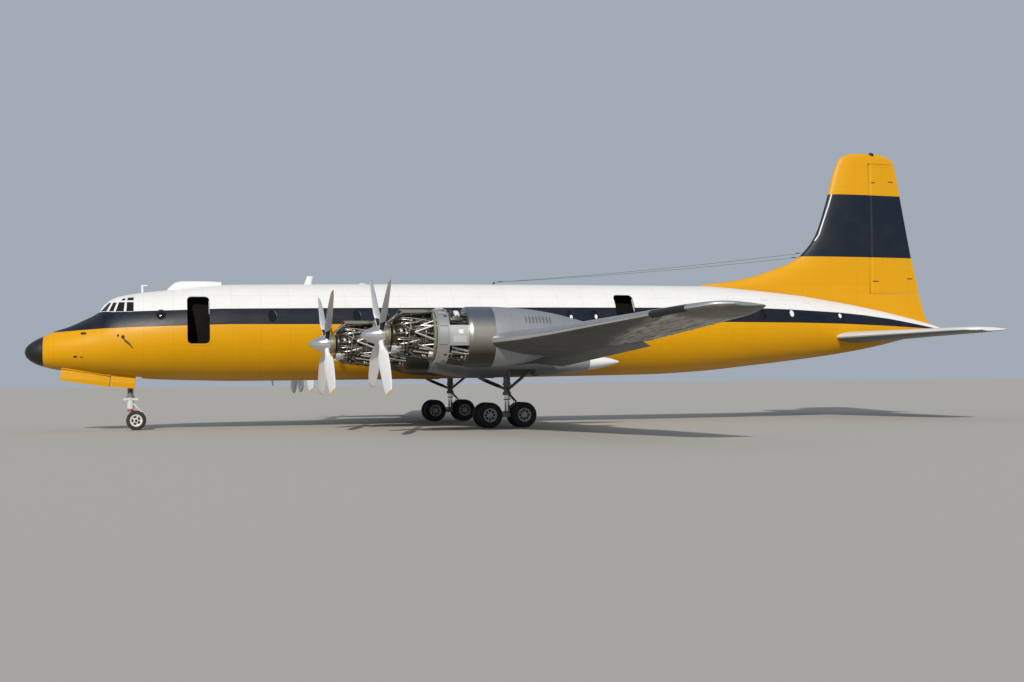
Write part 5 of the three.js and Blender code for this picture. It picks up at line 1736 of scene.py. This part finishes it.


# Mask used to put painted shade on faces that look down, in tail, flap and aileron colours
def facing_group():
    """1 on faces that look up by more than an edge, faded over a width; 0 on the others."""
    graph, given, out = new_group("facing_up", floats("Edge", "Width"), floats("Factor"))
    facing = graph.node("ShaderNodeSeparateXYZ", {"Vector": graph.own("Normal")})
    half = graph.maths("MULTIPLY", given.outputs[1], 0.5)
    over = graph.maths("SUBTRACT", facing.outputs[2], given.outputs[0])
    return graph.give(out, graph.ramp(over, graph.maths("MULTIPLY", half, -1.0), half))


# Worn skin under the wing: between two spans, aft of a station, and aft of a line across the panel
WORN = {"spans": (13.5, 20.4), "station": 16.95, "slope": 0.288, "line": 21.78}
TIP_SPAN = 19.2


def shaded_underside_group(real_place):
    """Skin darkened as painted shade, lighter at the tip, with streaks along the span where it is worn
    bright.
    """
    graph, _, out = new_group("worn_underside", [], [("Color", "Color")])
    station, span, _ = graph.group(real_place)
    streaks = graph.noise(graph.stretched(graph.own("Object"), (7.0, 1.4, 1.0)), 2.2, 5.0, 0.62, 0.34, 0.58)
    across = graph.maths("ADD", station, graph.maths("MULTIPLY", span, WORN["slope"]))
    worn = graph.both(graph.inside(span, *WORN["spans"], 0.6), graph.step(station, WORN["station"], 0.3),
                      graph.step(across, WORN["line"], 0.5), streaks)
    # Dark grey base, lighter from span 19.2 out: painted shade of the wing's underside
    painted_shade_base = graph.mix(graph.step(span, TIP_SPAN, 2.0), srgb(84, 82, 78), srgb(118, 114, 106))
    return graph.give(out, graph.mix(graph.maths("MULTIPLY", worn, 0.9), painted_shade_base, srgb(206, 203, 196)))


real_place = real_place_group()
livery = livery_group(real_place)
facing_up = facing_group()
underside = shaded_underside_group(real_place)
seams = seam_group()
wear = wear_group()


def surface(name, colour, roughness=0.45, metallic=0.0, dirt=0.0, dirt_colour=srgb(60, 55, 48), seam=None,
            specular=0.5, spread_roughness=0.08, seam_strength=0.5):
    """A surface with grime. colour is a colour, or a function that adds the nodes for one."""
    material = bpy.data.materials.new(name)
    material.use_nodes = True
    material.node_tree.nodes.clear()
    graph = Graph(material.node_tree)
    shader = graph.node("ShaderNodeBsdfPrincipled", {"Metallic": metallic, "Specular IOR Level": specular})
    graph.node("ShaderNodeOutputMaterial", {"Surface": shader.outputs[0]})
    base = colour(graph) if callable(colour) else colour
    rough = roughness
    if dirt:
        stain, _, streak = graph.group(wear)
        grime = graph.maths("ADD", graph.maths("MULTIPLY", stain, 0.55),
                            graph.maths("MULTIPLY", streak, 0.45))
        base = graph.mix(graph.maths("MULTIPLY", grime, dirt), base, dirt_colour)
        rough = graph.maths("ADD", roughness, graph.maths("MULTIPLY", grime, spread_roughness))
    if seam:
        base = graph.mix(graph.maths("MULTIPLY", seam(graph), seam_strength), base, SEAM)
    graph.put(shader.inputs["Base Color"], base)
    graph.put(shader.inputs["Roughness"], rough)
    PALETTE[name] = material
    return material


def livery_colour(graph):
    return graph.group(livery)[0]


HINGE_MARKS = [(34.60, 34.80, 10.12), (35.46, 35.72, 10.18), (34.60, 34.90, 5.84), (36.32, 36.60, 5.97)]
MARK_HALF = 0.022


def fin_colour(graph):
    station, _, height = graph.group(real_place)
    band = graph.inside(height, *FIN_BAND, 0.02)
    colour = graph.mix(band, YELLOW, BLACK)
    lead = graph.curve(height, [(row[0], row[1]) for row in FIN if row[0] >= FIN_KNEE], 40.0)
    behind = graph.maths("SUBTRACT", station, lead)
    line = graph.both(graph.inside(behind, 0.10, 0.145, 0.01), graph.inside(height, 7.55, FIN_BAND[1]))
    colour = graph.mix(line, colour, WHITE)
    for front, back, middle in HINGE_MARKS:
        mark = graph.both(graph.inside(station, front, back, 0.03),
                          graph.inside(height, middle - MARK_HALF, middle + MARK_HALF, 0.02))
        colour = graph.mix(mark, colour, srgb(52, 44, 30))
    return colour


def barrel_highlight_colour(graph):
    """Oxidised metal with painted light: a painted highlight band at mid height, a painted bluish sky
    reflection at the top and painted shade below, where the metal reflects the shaded ground.
    """
    height = graph.group(real_place)[2]
    low, high = graph.ramp(height, 2.55, 3.15), graph.ramp(height, 3.35, 3.75)
    return graph.mix(high, graph.mix(low, srgb(70, 66, 60), srgb(164, 160, 150)), srgb(104, 112, 124))


def shaded_underside_colour(graph):
    return graph.group(underside)[0]


def tail_shaded_colour(graph):
    """White paint, with painted shade: dark grey on faces that look down."""
    return graph.mix(graph.group(facing_up, -0.72, 0.30)[0], srgb(84, 82, 78), WHITE)


def painted_shade_below(below):
    """Wing top metal on faces that look up, and on the others what below adds: a darker colour that is
    painted shade.
    """
    return lambda graph: graph.mix(graph.group(facing_up, 0.0, 0.1)[0], below(graph), WING_TOP)


def seam_by(pitch, row, along="Station", across="Height"):
    def add(graph):
        where = graph.group(real_place)
        return graph.group(seams, where[along], where[across], pitch, row)[0]
    return add


surface("body_paint", livery_colour, 0.38, dirt=0.10, dirt_colour=BODY_GRIME, seam=seam_by(1.048, 0.62),
        specular=0.2, seam_strength=0.12)
# White tail paint with painted shade on faces that look down, also on the elevators
surface("tail_paint", tail_shaded_colour, 0.4, dirt=0.10)
surface("fin_paint", fin_colour, 0.46, dirt=0.05, dirt_colour=BODY_GRIME, seam=seam_by(1.3, 0.9),
        specular=0.3, seam_strength=0.12)
surface("band_paint", BLACK, 0.34, dirt=0.1, specular=0.3)
surface("wing_metal", WING_TOP, 0.40, 0.6, dirt=0.25, seam=seam_by(30, 0.85, "Station", "Span"),
        seam_strength=0.25)
# Wing underside: its dark base colour is painted shade; the bright streaks are wear
surface("wing_underside", shaded_underside_colour, 0.5, 0.4, dirt=0.5, dirt_colour=srgb(42, 40, 37))
# Flaps and ailerons: darker on faces that look down, as painted shade
surface("aileron_metal", painted_shade_below(shaded_underside_colour), 0.45, 0.5, dirt=0.35)
surface("flap_metal", painted_shade_below(lambda graph: srgb(122, 122, 120)), 0.45, 0.5, dirt=0.35)
surface("nacelle_metal", srgb(152, 156, 162), 0.38, 0.6, dirt=0.22, seam=seam_by(0.62, 3), seam_strength=0.16)
# Engine barrels: the colour holds a painted highlight, a painted sky reflection and painted shade
surface("barrel_metal", barrel_highlight_colour, 0.3, 0.75, dirt=0.25, dirt_colour=srgb(52, 44, 36))
surface("cowl_metal", srgb(200, 200, 198), 0.30, 0.9, dirt=0.25, dirt_colour=srgb(84, 76, 66))
surface("yellow_paint", YELLOW, 0.36, dirt=0.10, dirt_colour=BODY_GRIME, specular=0.3)
surface("interior", srgb(20, 20, 20), 0.8, dirt=0.3, specular=0.1)
surface("window_glass", srgb(10, 12, 14), 0.08, dirt=0.06, spread_roughness=0.1)
surface("tyre_rubber", srgb(28, 27, 27), 0.78, dirt=0.25, dirt_colour=srgb(96, 90, 82))
surface("casing_metal", srgb(34, 32, 30), 0.6, 0.3, dirt=0.4, dirt_colour=srgb(16, 15, 14))

# Name, colour, roughness, metal and grime
for name, colour, *values in (
    # The near-white strip under the leading edges: a joint strip, coloured as its shine, a painted highlight
    ("nose_strip", (206, 208, 210), 0.3, 0.7, 0.12),
    ("panel_metal", (168, 172, 171), 0.42, 0.5, 0.12),
    ("white_paint", (208, 209, 210), 0.4, 0.0, 0.08),
    ("grey_paint", (168, 170, 170), 0.45, 0.0, 0.25),
    ("black_paint", (24, 24, 26), 0.4, 0.0, 0.1),
    ("bay_paint", (122, 128, 118), 0.6, 0.0, 0.4),
    ("boot_rubber", (30, 30, 31), 0.6, 0.0, 0.2),
    ("rim_paint", (176, 178, 178), 0.5, 0.0, 0.35),
    ("white_rim", (205, 206, 202), 0.5, 0.0, 0.25),
    ("dark_steel", (60, 60, 60), 0.45, 0.7, 0.3),
    ("chrome", (205, 206, 208), 0.16, 1.0, 0.1),
    ("gear_paint", (188, 190, 188), 0.45, 0.0, 0.3),
    ("leg_paint", (118, 120, 118), 0.45, 0.2, 0.4),
    ("louvre_metal", (104, 106, 108), 0.5, 0.5, 0.3),
    ("hose_band", (168, 28, 34), 0.5, 0.0, 0.15),
    ("polished_metal", (222, 223, 224), 0.14, 1.0, 0.05),
    ("blade_metal", (214, 216, 218), 0.42, 0.3, 0.10),
    ("bronze_ring", (84, 78, 66), 0.4, 0.8, 0.4),
    ("hub_ring", (158, 148, 122), 0.35, 0.8, 0.15),
    ("firewall_paint", (112, 112, 98), 0.55, 0.0, 0.35),
    ("pipe_steel", (112, 108, 100), 0.4, 0.8, 0.45),
    ("pipe_bright", (186, 183, 176), 0.30, 0.9, 0.25),
    ("copper_pipe", (120, 88, 70), 0.4, 0.9, 0.3),
    ("hose_rubber", (36, 34, 33), 0.6, 0.0, 0.2),
    ("cast_metal", (62, 61, 59), 0.55, 0.5, 0.4),
    ("red_lamp", (150, 14, 10), 0.12, 0.0, 0.15),
    ("green_lamp", (10, 110, 60), 0.12, 0.0, 0.15),
    ("wire_metal", (90, 90, 92), 0.4, 0.6, 0.2),
):
    surface(name, srgb(*colour), *values)


# Assembly

finished(fuselage_skin(), "yellow_paint", "body_paint interior window_glass", ["fuselage", "cockpit_glazing"])
piece("nose_cap", nose_cap(), "black_paint", "black_paint", ["radome"])
piece("pane_frames", pane_frames(), "white_paint", "white_paint band_paint white_paint")
piece("dorsal_hump", dorsal_hump(), "white_paint", "white_paint", ["dorsal_hump"])
finished(fin_skin(), "yellow_paint", "fin_paint fin_paint", ["fin"])


def at_place(shape, where, turn=0.0):
    """A shape made about the origin, moved to a (station, span, height) place and turned about the shaft."""
    return Shape().join(shape, Matrix.Translation(place(*where)) @ Matrix.Rotation(radians(turn), 4, "X"))


ENGINE_MATERIALS = ("casing_metal pipe_steel pipe_bright copper_pipe hose_rubber cast_metal bronze_ring"
                    " firewall_paint white_paint")
PROPELLER_MATERIALS = "polished_metal hub_ring blade_metal black_paint yellow_paint white_paint"
GEAR_MATERIALS = "tyre_rubber dark_steel chrome"
engine_mesh, cowl_mesh, propeller_mesh = engine_block(), cowling(), propeller()
for side, side_name in SIDES.items():
    finished(wing_panel(side), "bare_metal", "wing_metal interior boot_rubber wing_underside nose_strip",
             [f"wing_{side_name}"])
    finished(tail_panel(side), "white_paint", "tail_paint interior", [f"tailplane_{side_name}"])
    piece(f"wing_fillets_{side_name}", wing_fillets(side), "bare_metal",
          "wing_metal wing_underside nose_strip")
    for key, (span, disc, height, phase) in ENGINES.items():
        where, end = (disc, side * span, height), f"{side_name}_{key}"
        piece(f"engine_{end}_dressing", at_place(engine_mesh, where), "engine_metal", ENGINE_MATERIALS,
              [f"engine_{end}"], 40)
        piece(f"cowling_{end}", at_place(cowl_mesh, where), "bare_metal",
              "cowl_metal dark_steel panel_metal grey_paint white_paint")
        finished(nacelle_skin(key, side), "bare_metal", "nacelle_metal interior barrel_metal",
                 [f"nacelle_{end}"])
        body = f"propeller_{end}"
        piece(f"{body}_blades", at_place(propeller_mesh, where, -phase), "polished_metal",
              PROPELLER_MATERIALS, [body], body=body)
    finished(pod_skin(side), "bare_metal", "nacelle_metal bay_paint white_paint")
    piece(f"bogie_{side_name}", bogie(side), "gear_paint", f"gear_paint {GEAR_MATERIALS}",
          [f"bogie_beam_{side_name}"])
    piece(f"main_leg_{side_name}_dressing", main_leg(side), "gear_paint",
          f"leg_paint {GEAR_MATERIALS} hose_band", [f"main_leg_{side_name}"])
    for end, shift in (("front", -1), ("rear", 1)):
        station = BOGIE["station"] + shift * BOGIE["half_base"]
        where = (station, side * ENGINES["inner"][0], MAIN_WHEEL["radius"])
        body = f"main_wheels_{end}_{side_name}"
        piece(f"{body}_tyres", at_place(wheel_pair(MAIN_WHEEL), where), "tyre",
              "tyre_rubber rim_paint dark_steel chrome", [body], body=body)

piece("nose_leg_dressing", nose_leg(), "gear_paint", f"leg_paint {GEAR_MATERIALS}", ["nose_leg"])
piece("nose_fork_dressing", nose_fork(), "gear_paint", f"gear_paint {GEAR_MATERIALS} hose_band",
      ["nose_fork"], body="nose_steering")
piece("nose_wheels_tyres", at_place(wheel_pair(NOSE_WHEEL), (NOSE_LEG["wheel"], 0, NOSE_WHEEL["radius"])),
      "tyre", "tyre_rubber white_rim dark_steel chrome", ["nose_wheels"], body="nose_wheels")

studs("cowl_rivets", cowl_rivets(), 0.020, 0.020, 0.010, 6, "dark_steel", "bare_metal")
studs("nacelle_louvres", nacelle_rows(spread(4.58, 5.42, 7), (0.47,)), 0.30, 0.045, 0.05, 8, "louvre_metal",
      "bare_metal")
studs("barrel_rivets", nacelle_rows((2.74, 3.49), spread(-0.9, 0.9, 37)), 0.016, 0.016, 0.008, 6,
      "dark_steel",
      "bare_metal")
studs("body_rivets", body_rivets(), 0.014, 0.014, 0.004, 6, "body_paint", "yellow_paint")

for name, shape, slot, materials in (
    ("roof_masts", masts(), "white_paint", "white_paint black_paint"),
    ("aerial_wires", aerial_wires(), "bare_metal", "wire_metal"),
    ("static_wicks", static_wicks(), "black_paint", "black_paint"),
    ("nose_probes", pitots(), "black_paint", "black_paint"),
    ("tip_lamps", tip_lamps(), "glazing", "red_lamp green_lamp"),
    ("roof_beacon", beacon(), "black_paint", "black_paint white_paint"),
    ("tail_scoops", scoops(), "white_paint", "white_paint"),
    ("bubble_window", bubble_window(), "glazing", "window_glass band_paint white_paint"),
    ("door_surrounds", door_surrounds(), "white_paint", "body_paint white_paint"),
):
    piece(name, shape, slot, materials)


# The nodes that keep their own shape get finer materials

KEPT = {
    "flap_": "flap_metal", "aileron_": "aileron_metal", "elevator_": "tail_paint", "rudder": "fin_paint",
    "nose_door_": "body_paint", "front_door": "body_paint", "rear_door": "body_paint",
}
for obj in bpy.data.objects:
    if obj.type != "MESH" or obj.hide_render:
        continue
    for start, material in KEPT.items():
        if obj.name.startswith(start) and "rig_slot" not in obj:
            obj.data.materials.clear()
            obj.data.materials.append(PALETTE[material])
            soften(obj.data, 30)


# Floor, light and camera


def lay_floor():
    mesh = bpy.data.meshes.new("floor")
    reach = 400
    mesh.from_pydata([(-reach, -reach, 0), (reach, -reach, 0), (reach, reach, 0), (-reach, reach, 0)], [],
                     [(0, 1, 2, 3)])
    mesh.materials.append(surface("floor_paint", srgb(162, 160, 155), 0.85))
    placed("floor", mesh)


def light_scene():
    world = bpy.data.worlds.new("soft_sky")
    bpy.context.scene.world = world
    world.use_nodes = True
    back = world.node_tree.nodes["Background"]
    back.inputs[0].default_value = srgb(200, 210, 224)
    back.inputs[1].default_value = 0.62
    sun_data = bpy.data.lights.new("sun", "SUN")
    sun_data.energy = 4.0
    sun_data.angle = radians(2.0)
    sun_data.color = (1.0, 0.94, 0.84)
    sun = placed("sun", sun_data)
    towards = Vector((0.38, 0.92, 0.58))
    sun.rotation_euler = towards.to_track_quat("Z", "Y").to_euler()


def set_camera():
    yaw, pitch, roll = CAMERA["yaw"], CAMERA["pitch"], CAMERA["roll"]
    right = Vector((-cos(yaw), sin(yaw), 0))
    ahead = Vector((-sin(yaw) * cos(pitch), -cos(yaw) * cos(pitch), sin(pitch)))
    up = Vector((sin(yaw) * sin(pitch), cos(yaw) * sin(pitch), cos(pitch)))
    across = right * cos(roll) + up * sin(roll)
    over = up * cos(roll) - right * sin(roll)
    data = bpy.data.cameras.new("camera")
    data.lens = LENS_MM
    data.sensor_width = 36
    data.clip_end = 600
    camera = placed("camera", data)
    where = place(CAMERA["station"], CAMERA["span"], CAMERA["height"])
    rows = [list(row) for row in zip(across, over, -ahead)]
    turn = Matrix(rows).to_4x4()
    camera.matrix_world = Matrix.Translation(where) @ turn
    bpy.context.scene.camera = camera


lay_floor()
light_scene()
set_camera()

scene = bpy.context.scene
scene.view_settings.view_transform = "Standard"
